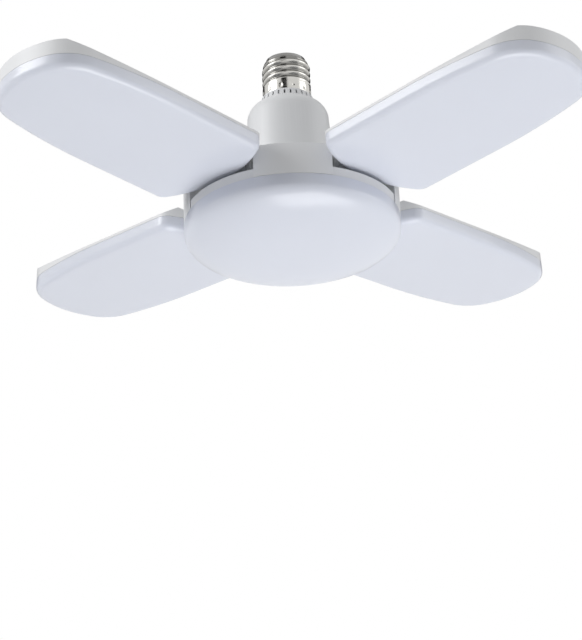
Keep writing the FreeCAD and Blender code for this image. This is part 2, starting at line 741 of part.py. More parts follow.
def make_centre_diffuser():
    """Opal lens: upright skirt, rounded edge and a shallow dome, with a snap lip inside."""
    body = new_body("centre_diffuser")
    sketch = new_sketch(body, "XZ_Plane", "lens_profile")
    wall = S["lens_wall"]
    edge, dome = S["lens_edge_radius"], lens_dome_radius()
    reach = S["hub_radius"] - edge
    centre = dome - S["lens_depth"]
    share = reach / (dome - edge)
    join_x = dome * share
    join_z = centre - leg(dome, join_x)
    inner_x = (dome - wall) * share
    inner_z = centre - leg(dome - wall, inner_x)
    lip_outer = BASE_RADIUS - S["hub_wall"] - S["base_clearance"]
    lip_inner = lip_outer - S["lens_lip_wall"]
    draw_loop(sketch, [
        (0, -S["lens_depth"], dome, -1), (join_x, join_z, edge, -1),
        (S["hub_radius"], -S["lens_skirt"]), (S["hub_radius"], 0), (lip_outer, 0),
        (lip_outer, S["lens_lip"]), (lip_inner, S["lens_lip"]), (lip_inner, -wall),
        (S["hub_radius"] - wall, -wall), (S["hub_radius"] - wall, -S["lens_skirt"],
                                          edge - wall, 1),
        (inner_x, inner_z, dome - wall, 1), (0, wall - S["lens_depth"])])
    revolve(body, sketch)
    place_on_hub(body)
    return body


# ---------------------------------------------------------------- driver in the neck

def make_driver_board():
    """Upright board that stands on the cover's top plate, guided by the neck's bore."""
    body = new_body("driver_board")
    sketch = new_sketch(body, "XZ_Plane", "driver_outline")
    draw_loop(sketch, rectangle(-S["driver_half_width"], S["hub_top"], S["driver_half_width"],
                                S["driver_top"]))
    pad(body, sketch, S["driver_thickness"], both_ways=True)
    place_on_hub(body)
    return body


def block_on_board(label, wide, deep, tall, x, level, side):
    """A rectangular component on one side of the driver board."""
    item = DOC.addObject("Part::Box", label)
    item.Label = label
    item.setExpression("Length", wide.text)
    item.setExpression("Width", deep.text)
    item.setExpression("Height", tall.text)
    face = S["driver_thickness"] / 2
    y = face if side > 0 else -face - deep
    place = f"placement(vector({x.text}; {y.text}; {level.text} - {SEAM_DROP.text});"
    item.setExpression("Placement", place + " rotation(vector(0; 0; 1); 0))")
    return item


def upright_on_board(label, radius, length, x, level, side):
    """A round component that lies against the driver board, with its axis upright."""
    item = DOC.addObject("Part::Cylinder", label)
    item.Label = label
    item.setExpression("Radius", radius.text)
    item.setExpression("Height", length.text)
    y = (S["driver_thickness"] / 2 + radius) * side
    place = f"placement(vector({x.text}; {y.text}; {level.text} - {SEAM_DROP.text});"
    item.setExpression("Placement", place + " rotation(vector(0; 0; 1); 0))")
    return item


def make_inductor():
    """Drum-core inductor: two flanges with the winding between them."""
    body = new_body("inductor")
    sketch = new_sketch(body, "XZ_Plane", "inductor_profile")
    flange, waist, length = S["inductor_radius"], S["inductor_waist"], S["inductor_length"]
    rim = length / 6
    draw_loop(sketch, [
        (0, 0), (flange, 0), (flange, rim), (waist, rim), (waist, length - rim),
        (flange, length - rim), (flange, length), (0, length)])
    revolve(body, sketch)
    y = S["driver_thickness"] / 2 + flange
    place = f"placement(vector({S['inductor_side'].text}; -{y.text}; " \
            f"{(S['hub_top'] + S['inductor_lift'] - SEAM_DROP).text});"
    body.setExpression("Placement", place + " rotation(vector(0; 0; 1); 0))")
    return body


def make_driver_parts():
    low = S["hub_top"]
    return [
        make_driver_board(),
        upright_on_board("electrolytic_capacitor", S["capacitor_radius"], S["capacitor_length"],
                         S["capacitor_side"], low + S["capacitor_lift"], 1),
        block_on_board("film_capacitor", S["film_length"], S["film_depth"], S["film_height"],
                       -S["film_side"], low + S["film_lift"], 1),
        make_inductor(),
        block_on_board("bridge_rectifier", S["bridge_side"], S["bridge_depth"],
                       S["bridge_side"], -S["bridge_at"], low + S["bridge_lift"], -1),
        block_on_board("driver_chip", S["chip_side"], S["chip_depth"], S["chip_side"],
                       -S["chip_at"], low + S["chip_lift"], -1),
        upright_on_board("fusible_resistor", S["fuse_radius"], S["fuse_length"],
                         -S["fuse_at"], low + S["fuse_lift"], 1),
    ]


def lead(label, stops):
    """A lead along straight runs that are joined by arcs as large as the runs allow."""
    points = [V(*stop) for stop in stops]
    edges = []
    here = points[0]
    for index in range(1, len(points) - 1):
        corner = points[index]
        inward = (corner - points[index - 1]).normalize()
        onward = (points[index + 1] - corner).normalize()
        shorter = min((corner - points[index - 1]).Length, (points[index + 1] - corner).Length)
        back = 0.45 * shorter
        arc_start, arc_end = corner - inward * back, corner + onward * back
        bend = (onward - inward).normalize()
        turn = inward.getAngle(onward)
        radius = back / math.tan(turn / 2)
        middle = corner + bend * (radius / math.cos(turn / 2) - radius)
        edges.append(Part.LineSegment(here, arc_start).toShape())
        edges.append(Part.Arc(arc_start, middle, arc_end).toShape())
        here = arc_end
        print(label, "bend radius", round(radius, 1))
    edges.append(Part.LineSegment(here, points[-1]).toShape())
    path = Part.Wire(edges)
    ring = Part.makeCircle(S["lead_radius"].value, points[0], points[1] - points[0])
    tube = path.makePipeShell([Part.Wire(ring)], True, False)
    section = math.pi * S["lead_radius"].value ** 2
    print(label, "volume over section times length", round(tube.Volume / section / path.Length, 4))
    item = DOC.addObject("Part::Feature", label)
    item.Label = label
    item.Shape = tube
    place_on_hub(item)
    return item


def make_leads():
    """Two leads from the screw cap to the driver board, and two from there to the LEDs."""
    board_top = S["driver_top"].value
    rise = S["lead_rise"].value
    top = S["hub_top"].value + S["led_lead_overlap"].value
    bend = S["hub_top"].value - S["led_lead_drop"].value
    cap_top = cap_levels()[0].value
    skirt = S["neck_top"].value
    floor = CENTRE_BOARD_UNDER.value + S["board_thickness"].value
    straight = floor + S["led_lead_run"].value
    live, neutral = S["live_lead_at"].value, S["neutral_lead_at"].value
    out = S["led_lead_at"].value
    thick = S["lead_radius"].value
    in_shell = S["cap_root_radius"].value - S["cap_wall"].value - thick
    in_spigot = SPIGOT_RADIUS.value - S["spigot_wall"].value - thick * 1.5
    on_board = S["driver_thickness"].value / 2 + thick
    return [
        lead("live_lead", [(live, 0, board_top), (live, 0, board_top + rise),
                           (0, 0, cap_top - S["live_lead_run"].value), (0, 0, cap_top)]),
        lead("neutral_lead", [(-neutral, 0, board_top), (-neutral, 0, board_top + rise),
                              (-in_spigot, 0, skirt + S["neutral_lead_bend"].value),
                              (-in_shell, 0, skirt + S["neutral_lead_end"].value)]),
        lead("positive_lead", [(out, on_board, top), (out, on_board, bend),
                               (out, 0, straight), (out, 0, floor)]),
        lead("negative_lead", [(-out, on_board, top), (-out, on_board, bend),
                               (-out, 0, straight), (-out, 0, floor)]),
    ]


# ---------------------------------------------------------------- leaves

def leaf_corners(inset):
    """Outline of a leaf, moved inwards by an inset: the arcs' centres, radii and junctions."""
    half = S["leaf_half"].value - inset
    root_centre = LEAF_ROOT.value + S["root_arc"].value
    tip_centre = LEAF_TIP.value - S["tip_arc"].value
    side_centre = (SIDE_ARC_START.value, S["leaf_half"].value - S["side_arc"].value)
    corner_y = S["leaf_half"].value - S["root_corner"].value
    corner_x = root_centre - math.sqrt((S["root_arc"].value - S["root_corner"].value) ** 2
                                       - corner_y ** 2)
    from_side = S["side_arc"].value - S["tip_corner"].value
    from_tip = S["tip_arc"].value - S["tip_corner"].value
    apart = (tip_centre - side_centre[0], -side_centre[1])
    distance = math.hypot(*apart)
    along = (from_side ** 2 - from_tip ** 2 + distance ** 2) / (2 * distance)
    off = math.sqrt(from_side ** 2 - along ** 2)
    unit = (apart[0] / distance, apart[1] / distance)
    tip_corner = (side_centre[0] + unit[0] * along + unit[1] * off,
                  side_centre[1] + unit[1] * along - unit[0] * off)
    return half, root_centre, tip_centre, side_centre, (corner_x, corner_y), tip_corner


def between(centre, radius, toward):
    """The point of a circle that lies towards another point, or away from it if radius < 0."""
    direction = V(toward[0] - centre[0], toward[1] - centre[1], 0).normalize()
    return V(centre[0], centre[1], 0) + direction * radius


def draw_leaf_outline(sketch, inset):
    """Closed outline of tangent arcs and lines, mirrored about the leaf's middle line."""
    gap = inset.value
    half, root_centre, tip_centre, side_centre, near, far = leaf_corners(gap)
    root_radius = S["root_arc"].value - gap
    tip_radius = S["tip_arc"].value - gap
    side_radius = S["side_arc"].value - gap
    near_radius = S["root_corner"].value - gap
    far_radius = S["tip_corner"].value - gap
    upper = [
        between((root_centre, 0), root_radius, near), V(near[0], near[1] + near_radius, 0),
        V(side_centre[0], half, 0), between(side_centre, side_radius, far),
        between((tip_centre, 0), tip_radius, far)]
    mid_near = V(near[0], near[1], 0) + V(-1, 1, 0).normalize() * near_radius
    mid_side = between(side_centre, side_radius,
                       ((upper[2].x + upper[3].x) / 2, (upper[2].y + upper[3].y) / 2))
    mid_far = between(far, far_radius, (far[0] + 1, far[1] + 1))
    lower = [V(corner.x, -corner.y, 0) for corner in upper]

    def flip(corner):
        return V(corner.x, -corner.y, 0)

    edges = [
        Part.Arc(lower[0], V(root_centre - root_radius, 0, 0), upper[0]),
        Part.Arc(upper[0], mid_near, upper[1]), Part.LineSegment(upper[1], upper[2]),
        Part.Arc(upper[2], mid_side, upper[3]), Part.Arc(upper[3], mid_far, upper[4]),
        Part.Arc(upper[4], V(tip_centre + tip_radius, 0, 0), lower[4]),
        Part.Arc(lower[4], flip(mid_far), lower[3]), Part.Arc(lower[3], flip(mid_side), lower[2]),
        Part.LineSegment(lower[2], lower[1]), Part.Arc(lower[1], flip(mid_near), lower[0])]
    starts = [lower[0]] + upper + [lower[4], lower[3], lower[2], lower[1]]
    sketch.addGeometry(edges)
    rules = Rules(sketch)
    begins = [start_point(sketch, index, corner) for index, corner in enumerate(starts)]
    for index in range(len(edges)):
        after = (index + 1) % len(edges)
        rules.add("Tangent", index, 3 - begins[index], after, begins[after])
    rules.along("DistanceX", 0, 3, LEAF_ROOT + S["root_arc"])
    rules.along("DistanceY", 0, 3, 0)
    rules.along("DistanceX", 5, 3, LEAF_TIP - S["tip_arc"])
    rules.along("DistanceY", 5, 3, 0)
    rules.length("Radius", 0, number=S["root_arc"] - inset)
    rules.length("Radius", 5, number=S["tip_arc"] - inset)
    for near_arc, side_line, side_arc, far_arc, sign in ((1, 2, 3, 4, 1), (9, 8, 7, 6, -1)):
        rules.length("Radius", near_arc, number=S["root_corner"] - inset)
        rules.length("Radius", far_arc, number=S["tip_corner"] - inset)
        rules.length("Radius", side_arc, number=S["side_arc"] - inset)
        side_point = 3 - begins[side_line] if sign > 0 else begins[side_line]
        rules.pin(side_line, side_point, SIDE_ARC_START, (S["leaf_half"] - inset) * sign)
        rules.add("Horizontal", side_line)
    rules.close()


def make_leaf_shell(label, turn):
    """Ribbed back of a leaf: outline with sloping borders, a recess for the board, grooves
    between the ribs, a boss for the end screw, and the hinge arm with its barrel."""
    body = new_body(label)
    outline = new_sketch(body, "XY_Plane", label + "_outline", SHELL_UNDER)
    draw_leaf_outline(outline, size(0))
    pad(body, outline, S["shell_height"])
    low = SHELL_TOP - S["slope_drop"]
    high = SHELL_TOP + OVERRUN
    borders = new_sketch(body, "YZ_Plane", label + "_side_borders")
    for side in (-1, 1):
        edge, outer = (S["leaf_half"] - S["side_slope"]) * side, S["leaf_half"] * side
        beyond = outer + OVERRUN * side
        draw_loop(borders, [(edge, SHELL_TOP), (outer, low), (beyond, low), (beyond, high),
                            (edge, high)])
    cut(body, borders)
    root_border = new_sketch(body, "XZ_Plane", label + "_root_border")
    edge, beyond = LEAF_ROOT + S["root_slope"], LEAF_ROOT - OVERRUN
    draw_loop(root_border, [(edge, SHELL_TOP), (LEAF_ROOT, low), (beyond, low), (beyond, high),
                            (edge, high)])
    cut(body, root_border)
    recess = new_sketch(body, "XY_Plane", label + "_recess", SHELL_UNDER)
    draw_leaf_outline(recess, S["shell_wall"])
    cut(body, recess, S["shell_cavity"], upwards=True)
    groove = new_sketch(body, "XY_Plane", label + "_groove", SHELL_TOP)
    first = -(S["groove_pitch"] * (S["groove_count"] - 1) / 2)
    draw_loop(groove, rectangle(LEAF_ROOT, first - S["groove_width"] / 2,
                                LEAF_TIP - S["groove_margin"], first + S["groove_width"] / 2))
    groove_cut = cut(body, groove, S["groove_depth"])
    DOC.recompute()
    ribs = body.newObject("PartDesign::LinearPattern", label + "_ribs")
    ribs.Originals = [groove_cut]
    ribs.Direction = (groove, ["V_Axis"])
    ribs.setExpression("Length", (S["groove_pitch"] * (S["groove_count"] - 1)).text)
    ribs.setExpression("Occurrences", S["groove_count"].text)
    body.Tip = ribs
    boss = new_sketch(body, "XY_Plane", label + "_boss", SHELL_ROOF)
    draw_circle(boss, BOSS_X, 0, S["boss_radius"])
    pad(body, boss, SHELL_TOP - SHELL_ROOF)
    sink = new_sketch(body, "XY_Plane", label + "_screw_recess", SHELL_TOP)
    draw_circle(sink, BOSS_X, 0, S["end_screw_head"] + S["screw_clearance"])
    cut(body, sink, S["end_screw_sink"])
    hole = new_sketch(body, "XY_Plane", label + "_screw_hole")
    draw_circle(hole, BOSS_X, 0, S["end_screw_radius"] + S["screw_clearance"])
    cut(body, hole)
    x, z, radius = HINGE_X, S["hinge_level"], S["barrel_radius"]
    arm = new_sketch(body, "XZ_Plane", label + "_arm")
    draw_loop(arm, rectangle(x, SHELL_UNDER, ARM_END, S["arm_top"]))
    pad(body, arm, S["barrel_half"] * 2, both_ways=True)
    barrel = new_sketch(body, "XZ_Plane", label + "_barrel")
    draw_circle(barrel, x, z, radius)
    pad(body, barrel, S["barrel_half"] * 2, both_ways=True)
    bore = new_sketch(body, "XZ_Plane", label + "_bore")
    draw_circle(bore, x, z, S["pin_radius"] + S["pin_clearance"])
    cut_across(body, bore, (S["barrel_half"] + OVERRUN) * 2)
    place_on_leaf(body, turn)
    return body


def make_leaf_diffuser(label, turn):
    """Opal lens of a leaf: a shallow tray with rounded edges and a post for the end screw."""
    body = new_body(label)
    outline = new_sketch(body, "XY_Plane", label + "_outline", S["leaf_front"])
    draw_leaf_outline(outline, size(0))
    solid = pad(body, outline, S["leaf_lens_height"])
    DOC.recompute()
    edges = outer_edges(solid.Shape, S["leaf_front"])
    round_edges(body, solid, edges, S["leaf_lens_edge"])
    inside = new_sketch(body, "XY_Plane", label + "_inside",
                        S["leaf_front"] + S["leaf_lens_height"])
    draw_leaf_outline(inside, S["leaf_lens_wall"])
    hollow = cut(body, inside, S["leaf_lens_height"] - S["leaf_lens_wall"])
    DOC.recompute()
    inner_floor = S["leaf_front"] + S["leaf_lens_wall"]
    edges = outer_edges(hollow.Shape, inner_floor)
    round_edges(body, hollow, edges, S["leaf_lens_edge"] - S["leaf_lens_wall"])
    post = new_sketch(body, "XY_Plane", label + "_post",
                      S["leaf_front"] + S["leaf_lens_wall"] / 2)
    draw_circle(post, BOSS_X, 0, S["lens_boss_radius"])
    post_top = SHELL_ROOF - S["lens_boss_gap"]
    pad(body, post, post_top - S["leaf_front"] - S["leaf_lens_wall"] / 2)
    bore = new_sketch(body, "XY_Plane", label + "_post_bore", post_top)
    draw_circle(bore, BOSS_X, 0, S["end_screw_radius"] + S["screw_clearance"] / 2)
    cut(body, bore, post_top - S["leaf_front"] - S["leaf_lens_wall"])
    place_on_leaf(body, turn)
    return body


def make_leaf_board(label, turn):
    """Aluminium LED board against the roof of the shell's recess."""
    body = new_body(label)
    outline = new_sketch(body, "XY_Plane", label + "_outline", LEAF_BOARD_UNDER)
    draw_leaf_outline(outline, S["leaf_board_inset"])
    draw_circle(outline, BOSS_X, 0, S["lens_boss_radius"] + S["lens_boss_clearance"])
    pad(body, outline, S["board_thickness"])
    place_on_leaf(body, turn)
    return body


def make_leaf_leds(label, turn):
    """Rows of LED packages along a leaf's board."""
    boxes = []
    rows = int(S["leaf_led_rows"].value)
    first = LEAF_ROOT.value + S["leaf_led_margin"].value
    for column in range(int(S["leaf_led_columns"].value)):
        for row in range(rows):
            across = S["leaf_led_spread"].value * (row - (rows - 1) / 2)
            along = first + S["leaf_led_pitch"].value * column
            boxes.append(led_box(along, across, LEAF_BOARD_UNDER.value, 0))
    item = solid_group(label, boxes)
    place_on_leaf(item, turn)
    return item


def make_end_screw(label, turn):
    """Screw that draws the lens against the shell at the leaf's outer end."""
    body = new_body(label)
    sketch = new_sketch(body, "XZ_Plane", label + "_profile")
    seat = SHELL_TOP - S["end_screw_sink"]
    shank, head = S["end_screw_radius"], S["end_screw_head"]
    tip = S["leaf_front"] + S["leaf_lens_wall"] + S["end_screw_end"]
    top = seat + S["end_screw_head_height"]
    draw_loop(sketch, [(0, tip), (shank, tip), (shank, seat), (head, seat), (head, top), (0, top)])
    revolve(body, sketch)
    x, z = HINGE_X.text, S["hinge_level"].text
    out = f"placement(vector({x}; 0; {z}); rotation(vector(0; 1; 0); -{S['leaf_tilt'].text}))"
    along = f"({BOSS_X.text} - {x})"
    back = f"placement(vector({along}; 0; -{z}); rotation(vector(0; 1; 0); 0))"
    body.setExpression("Placement", f"{turn_text(turn)} * {out} * {back}")
    return body


def make_hinge_bracket(label, turn):
    """Bracket in a hinge bay: a foot on the floor, an ear at each end with a bore for the hinge
    pin, and a peg under each ear that locates it in the floor."""
    body = new_body(label)
    ears = new_sketch(body, "XZ_Plane", label + "_ears")
    x, z, radius, foot = HINGE_X, S["hinge_level"], S["ear_radius"], S["floor_top"]
    draw_loop(ears, [
        (x - radius, foot), (x + radius, foot), (x + radius, z, radius, -1),
        (x, z + radius, radius, -1), (x - radius, z)])
    pad(body, ears, EAR_OUTER * 2, both_ways=True)
    between_ears = new_sketch(body, "XZ_Plane", label + "_between_ears")
    wide = radius + OVERRUN
    draw_loop(between_ears, rectangle(x - wide, foot + S["foot_height"], x + wide, z + wide))
    cut_across(body, between_ears, EAR_INNER * 2)
    bore = new_sketch(body, "XZ_Plane", label + "_bore")
    draw_circle(bore, x, z, S["pin_radius"] + S["pin_clearance"])
    cut_across(body, bore, (EAR_OUTER + OVERRUN) * 2)
    pegs = new_sketch(body, "XY_Plane", label + "_pegs", FLOOR_UNDER + S["screw_clearance"])
    for side in (-1, 1):
        draw_circle(pegs, x, PEG_Y * side, S["peg_radius"])
    pad(body, pegs, S["floor_thickness"])
    place_in_bay(body, turn)
    return body


def make_hinge_pin(label, turn):
    """Hinge screw across the bay, with its head outside one ear and a nut outside the other."""
    body = new_body(label)
    sketch = new_sketch(body, "XZ_Plane", label + "_profile")
    pin, head = S["pin_radius"], S["pin_head"]
    end = EAR_OUTER + S["pin_head_gap"]
    far = end + S["pin_head_height"]
    draw_loop(sketch, [(0, -far), (head, -far), (head, -end), (pin, -end), (pin, end),
                       (head, end), (head, far), (0, far)])
    revolve(body, sketch)
    lay = f"placement(vector({HINGE_X.text}; 0; {S['hinge_level'].text}); " \
          "rotation(vector(1; 0; 0); 90))"
    body.setExpression("Placement", f"{turn_text(turn)} * {lay}")
    return body


def make_friction_washers(label, turn):
    """Two friction washers, one between each end of the barrel and its ear."""
    rings = []
    inside = S["pin_radius"].value + S["pin_clearance"].value
    for side in (-1, 1):
        near = S["barrel_half"].value + S["washer_gap"].value
        start = near if side > 0 else -near - S["washer_thickness"].value
        seat = V(HINGE_X.value, start, S["hinge_level"].value)
        disc = Part.makeCylinder(S["washer_radius"].value, S["washer_thickness"].value,
                                 seat, V(0, 1, 0))
        bore = Part.makeCylinder(inside, S["washer_thickness"].value, seat, V(0, 1, 0))
        rings.append(disc.cut(bore))
    item = solid_group(label, rings)
    place_in_bay(item, turn)
    return item


def make_leaf(number, turn):
    name = f"leaf_{number}"
    return [
        make_leaf_shell(f"{name}_shell", turn),
        make_leaf_diffuser(f"{name}_diffuser", turn),
        make_leaf_board(f"{name}_board", turn),
        make_leaf_leds(f"{name}_leds", turn),
        make_end_screw(f"{name}_end_screw", turn),
        make_hinge_bracket(f"{name}_hinge_bracket", turn),
        make_hinge_pin(f"{name}_hinge_pin", turn),
        make_friction_washers(f"{name}_friction_washers", turn),
    ]


# ---------------------------------------------------------------- build, check and export

def build():
    parts = [
        make_cap_shell(), make_cap_insulator(), make_centre_contact(), make_neck_housing(),
        make_hub_cover(), make_hub_base(), make_hub_screws(), make_centre_board(),
        make_centre_leds(), make_centre_diffuser()]
    parts += make_driver_parts()
    parts += make_leads()
    for number, turn in enumerate(LEAF_TURNS, start=1):
        parts += make_leaf(number, turn)
    DOC.recompute()
    return parts


def check(parts):
    """Stops if the document holds a failed object or a sub-part without a sound solid."""
    for item in DOC.Objects:
        if "Invalid" in item.State or "Error" in item.State:
            raise RuntimeError(f"{item.Label} failed: {item.State}")
    for item in parts:
        if item.Shape.isNull() or not item.Shape.isValid() or not item.Shape.Solids:
            raise RuntimeError(f"{item.Label} has no sound shape")


def export(parts):
    os.makedirs("parts", exist_ok=True)
    for item in parts:
        item.Shape.exportStep(f"parts/{item.Label}.step")


PARTS = build()
check(PARTS)
export(PARTS)
print(len(PARTS), "sub-parts")
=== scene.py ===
"""Garage light with four folding LED leaves: finishes, lenses, screw thread, light and camera.

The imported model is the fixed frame. Lengths are in metres. A leaf is worked out along +X from the
lamp's axis, spread level, then tilted about its hinge pin and turned into its bay.
"""

import math

import bmesh
import bpy
import numpy as np
from mathutils import Matrix, Vector


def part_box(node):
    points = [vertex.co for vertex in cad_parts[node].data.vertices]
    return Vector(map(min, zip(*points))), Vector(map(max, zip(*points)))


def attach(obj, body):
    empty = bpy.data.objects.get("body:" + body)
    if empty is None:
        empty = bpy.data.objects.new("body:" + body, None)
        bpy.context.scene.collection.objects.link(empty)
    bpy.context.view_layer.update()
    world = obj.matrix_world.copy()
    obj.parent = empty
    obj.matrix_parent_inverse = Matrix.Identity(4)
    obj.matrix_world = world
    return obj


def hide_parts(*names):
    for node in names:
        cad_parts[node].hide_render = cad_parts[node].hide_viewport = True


bl_info = {
    "name": "Folding Garage Light",
    "version": (1, 0, 0),
    "blender": (4, 5, 0),
    "location": "3D View > Sidebar > Garage Light",
    "description": "Finishes, lenses and studio for a garage light with four folding leaves",
    "category": "Object",
}

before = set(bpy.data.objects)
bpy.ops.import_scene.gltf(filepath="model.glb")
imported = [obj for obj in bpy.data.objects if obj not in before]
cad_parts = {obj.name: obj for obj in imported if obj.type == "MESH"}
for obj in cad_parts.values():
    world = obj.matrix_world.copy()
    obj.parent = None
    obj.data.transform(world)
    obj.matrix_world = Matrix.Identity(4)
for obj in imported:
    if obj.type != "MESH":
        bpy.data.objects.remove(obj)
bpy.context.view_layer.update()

MM = 0.001
LEAVES = (1, 2, 3, 4)
CAP_LOW, CAP_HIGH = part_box("cap_shell")
RING_LOW, RING_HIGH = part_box("cap_insulator")
CONTACT_LOW, CONTACT_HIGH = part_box("centre_contact")
LENS_LOW, LENS_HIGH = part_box("centre_diffuser")
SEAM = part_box("hub_cover")[0].z
CAP_RIM = CAP_LOW.z


# ---------------------------------------------------------------- sizes and colours

def length(name, description, default):
    return bpy.props.FloatProperty(name=name, description=description, default=default * MM,
                                   unit="LENGTH", precision=5)


class LightSizes(bpy.types.PropertyGroup):
    """Sizes of the pieces that are worked out here."""

    thread_pitch: length("Thread pitch", "Rise of the cap's thread in one turn", 3.63)
    thread_root: length("Thread root", "Root radius of the cap's thread", 12.1)
    cap_skirt: length("Cap skirt", "Height of the plain skirt below the thread", 6.6)
    cap_wall: length("Cap wall", "Metal thickness of the cap", 0.5)
    cap_lip: length("Cap lip", "Outer radius of the rim turned in on the glass ring", 10.4)
    thread_turns: bpy.props.IntProperty(
        name="Thread turns", description="Turns of the cap's thread", default=4)
    punch_count: bpy.props.IntProperty(
        name="Punch marks", description="Marks that hold the cap's skirt on the neck", default=12)
    punch_height: length("Punch height", "Height of the marks above the cap's rim", 2.6)
    punch_depth: length("Punch depth", "Depth of a mark", 0.42)
    ring_top: length("Ring top", "Radius of the glass ring's upper face", 5.9)
    contact_stem: length("Contact stem", "Radius of the contact's rivet stem", 2.8)
    contact_height: length("Contact height", "Height of the centre contact", 1.8)
    lens_skirt: length("Lens skirt", "Height of the hub lens's upright skirt", 5.5)
    lens_wall: length("Lens wall", "Wall of the hub lens", 1.8)
    lens_fullness: bpy.props.FloatProperty(
        name="Lens fullness", description="Power of the hub lens's curve: 2 is an ellipse",
        default=3.2)
    hinge_distance: length("Hinge distance", "Distance from the axis to a hinge pin", 42.0)
    hinge_height: length("Hinge height", "Height of the hinge pins above the seam", 14.5)
    leaf_tilt: bpy.props.FloatProperty(
        name="Leaf tilt", description="Angle by which a spread leaf rises towards its tip",
        default=math.radians(3.0), unit="ROTATION")
    leaf_front: length("Leaf front", "Height of a leaf's lit face above the seam", 6.3)
    leaf_lens_height: length("Leaf lens height", "Height of a leaf's lens", 7.95)
    leaf_lens_edge: length("Leaf lens edge", "Rounding of the lit face's edge", 3.4)
    leaf_lens_wall: length("Leaf lens wall", "Wall of a leaf's lens", 1.6)
    leaf_crown: length("Leaf crown", "How far the lit face swells in its middle", 0.5)
    leaf_root: length("Leaf root", "Distance from the axis to a leaf's inner end", 49.1)
    leaf_tip: length("Leaf tip", "Distance from the axis to a leaf's tip", 187.5)
    leaf_half: length("Leaf half width", "Half the width of a leaf", 37.5)
    root_arc: length("Root arc", "Radius of the inner end", 70.0)
    root_corner: length("Root corner", "Corner radius at the inner end", 7.0)
    tip_arc: length("Tip arc", "Radius of the outer end", 50.0)
    tip_corner: length("Tip corner", "Corner radius at the outer end", 23.5)
    side_arc: length("Side arc", "Radius of the long sides towards the tip", 280.0)
    side_arc_start: length("Side arc start", "Distance from the axis to where it begins", 115.1)


def colour(name, description, default):
    return bpy.props.FloatVectorProperty(name=name, description=description, subtype="COLOR",
                                         size=3, default=default, min=0.0, max=1.0)


class LightColours(bpy.types.PropertyGroup):
    """Colours of the finishes, as linear values."""

    opal: colour("Opal lens", "Milky plastic of the lenses", (0.70, 0.73, 0.82))
    housing: colour("Housing", "White plastic of the hub, neck and shells", (0.78, 0.79, 0.805))
    bracket: colour("Bracket", "Grey nylon of the hinge brackets", (0.52, 0.53, 0.54))
    nickel: colour("Cap metal", "Nickel plate of the screw cap", (0.60, 0.59, 0.56))
    solder: colour("Solder", "Tinned face of the contact", (0.72, 0.71, 0.68))
    glass: colour("Black glass", "Ring between cap and contact", (0.012, 0.012, 0.015))
    zinc: colour("Zinc", "Plated steel of screws, pins and washers", (0.55, 0.56, 0.57))
    mask: colour("Solder mask", "White lacquer of the LED boards", (0.84, 0.84, 0.82))
    phosphor: colour("Phosphor", "Yellow gel of the LEDs", (0.84, 0.66, 0.12))
    laminate: colour("Laminate", "Green driver board", (0.02, 0.13, 0.05))
    sleeve: colour("Sleeve", "Shrink sleeve of the electrolytic capacitor", (0.015, 0.02, 0.05))
    film: colour("Film case", "Moulded case of the film capacitor", (0.42, 0.24, 0.02))
    winding: colour("Winding", "Enamelled wire of the inductor", (0.30, 0.08, 0.02))
    resin: colour("Resin", "Moulded resin of the rectifier and chip", (0.02, 0.02, 0.022))
    lacquer: colour("Lacquer", "Body of the fusible resistor", (0.08, 0.22, 0.30))
    insulation: colour("Insulation", "Covering of the leads", (0.70, 0.70, 0.69))


def sizes():
    return bpy.context.scene.garage_light_sizes


def colours():
    return bpy.context.scene.garage_light_colours


# ---------------------------------------------------------------- node helpers

def new_material(name):
    """A material with a Principled shader, returned with its node tree and shader."""
    material = bpy.data.materials.new(name)
    material.use_nodes = True
    tree = material.node_tree
    return material, tree, tree.nodes["Principled BSDF"]


def object_coordinates(tree, scale=(1.0, 1.0, 1.0)):
    place = tree.nodes.new("ShaderNodeTexCoord").outputs["Object"]
    if scale == (1.0, 1.0, 1.0):
        return place
    stretch = tree.nodes.new("ShaderNodeMapping")
    stretch.inputs["Scale"].default_value = scale
    tree.links.new(place, stretch.inputs["Vector"])
    return stretch.outputs["Vector"]


def noise(tree, place, scale, detail=3.0, roughness=0.5):
    node = tree.nodes.new("ShaderNodeTexNoise")
    node.inputs["Scale"].default_value = scale
    node.inputs["Detail"].default_value = detail
    node.inputs["Roughness"].default_value = roughness
    tree.links.new(place, node.inputs["Vector"])
    return node.outputs["Fac"]


def waves(tree, place, scale, direction, distortion=0.0):
    node = tree.nodes.new("ShaderNodeTexWave")
    node.bands_direction = direction
    node.inputs["Scale"].default_value = scale
    node.inputs["Distortion"].default_value = distortion
    tree.links.new(place, node.inputs["Vector"])
    return node.outputs["Fac"]


def remap(tree, value, low, high, to_low, to_high):
    node = tree.nodes.new("ShaderNodeMapRange")
    for name, number in (("From Min", low), ("From Max", high), ("To Min", to_low),
                         ("To Max", to_high)):
        node.inputs[name].default_value = number
    tree.links.new(value, node.inputs["Value"])
    return node.outputs["Result"]


def bump(tree, height, strength, distance):
    node = tree.nodes.new("ShaderNodeBump")
    node.inputs["Strength"].default_value = strength
    node.inputs["Distance"].default_value = distance
    tree.links.new(height, node.inputs["Height"])
    return node.outputs["Normal"]


def mix_colour(tree, factor, first, second):
    """Mix of two colours, each a socket or a plain colour."""
    node = tree.nodes.new("ShaderNodeMix")
    node.data_type = "RGBA"
    tree.links.new(factor, node.inputs["Factor"])
    for socket, tint in ((node.inputs[6], first), (node.inputs[7], second)):
        if isinstance(tint, bpy.types.NodeSocket):
            tree.links.new(tint, socket)
        else:
            socket.default_value = (*tint, 1.0)
    return node.outputs[2]


def scaled(tint, factor):
    return tuple(min(1.0, channel * factor) for channel in tint)


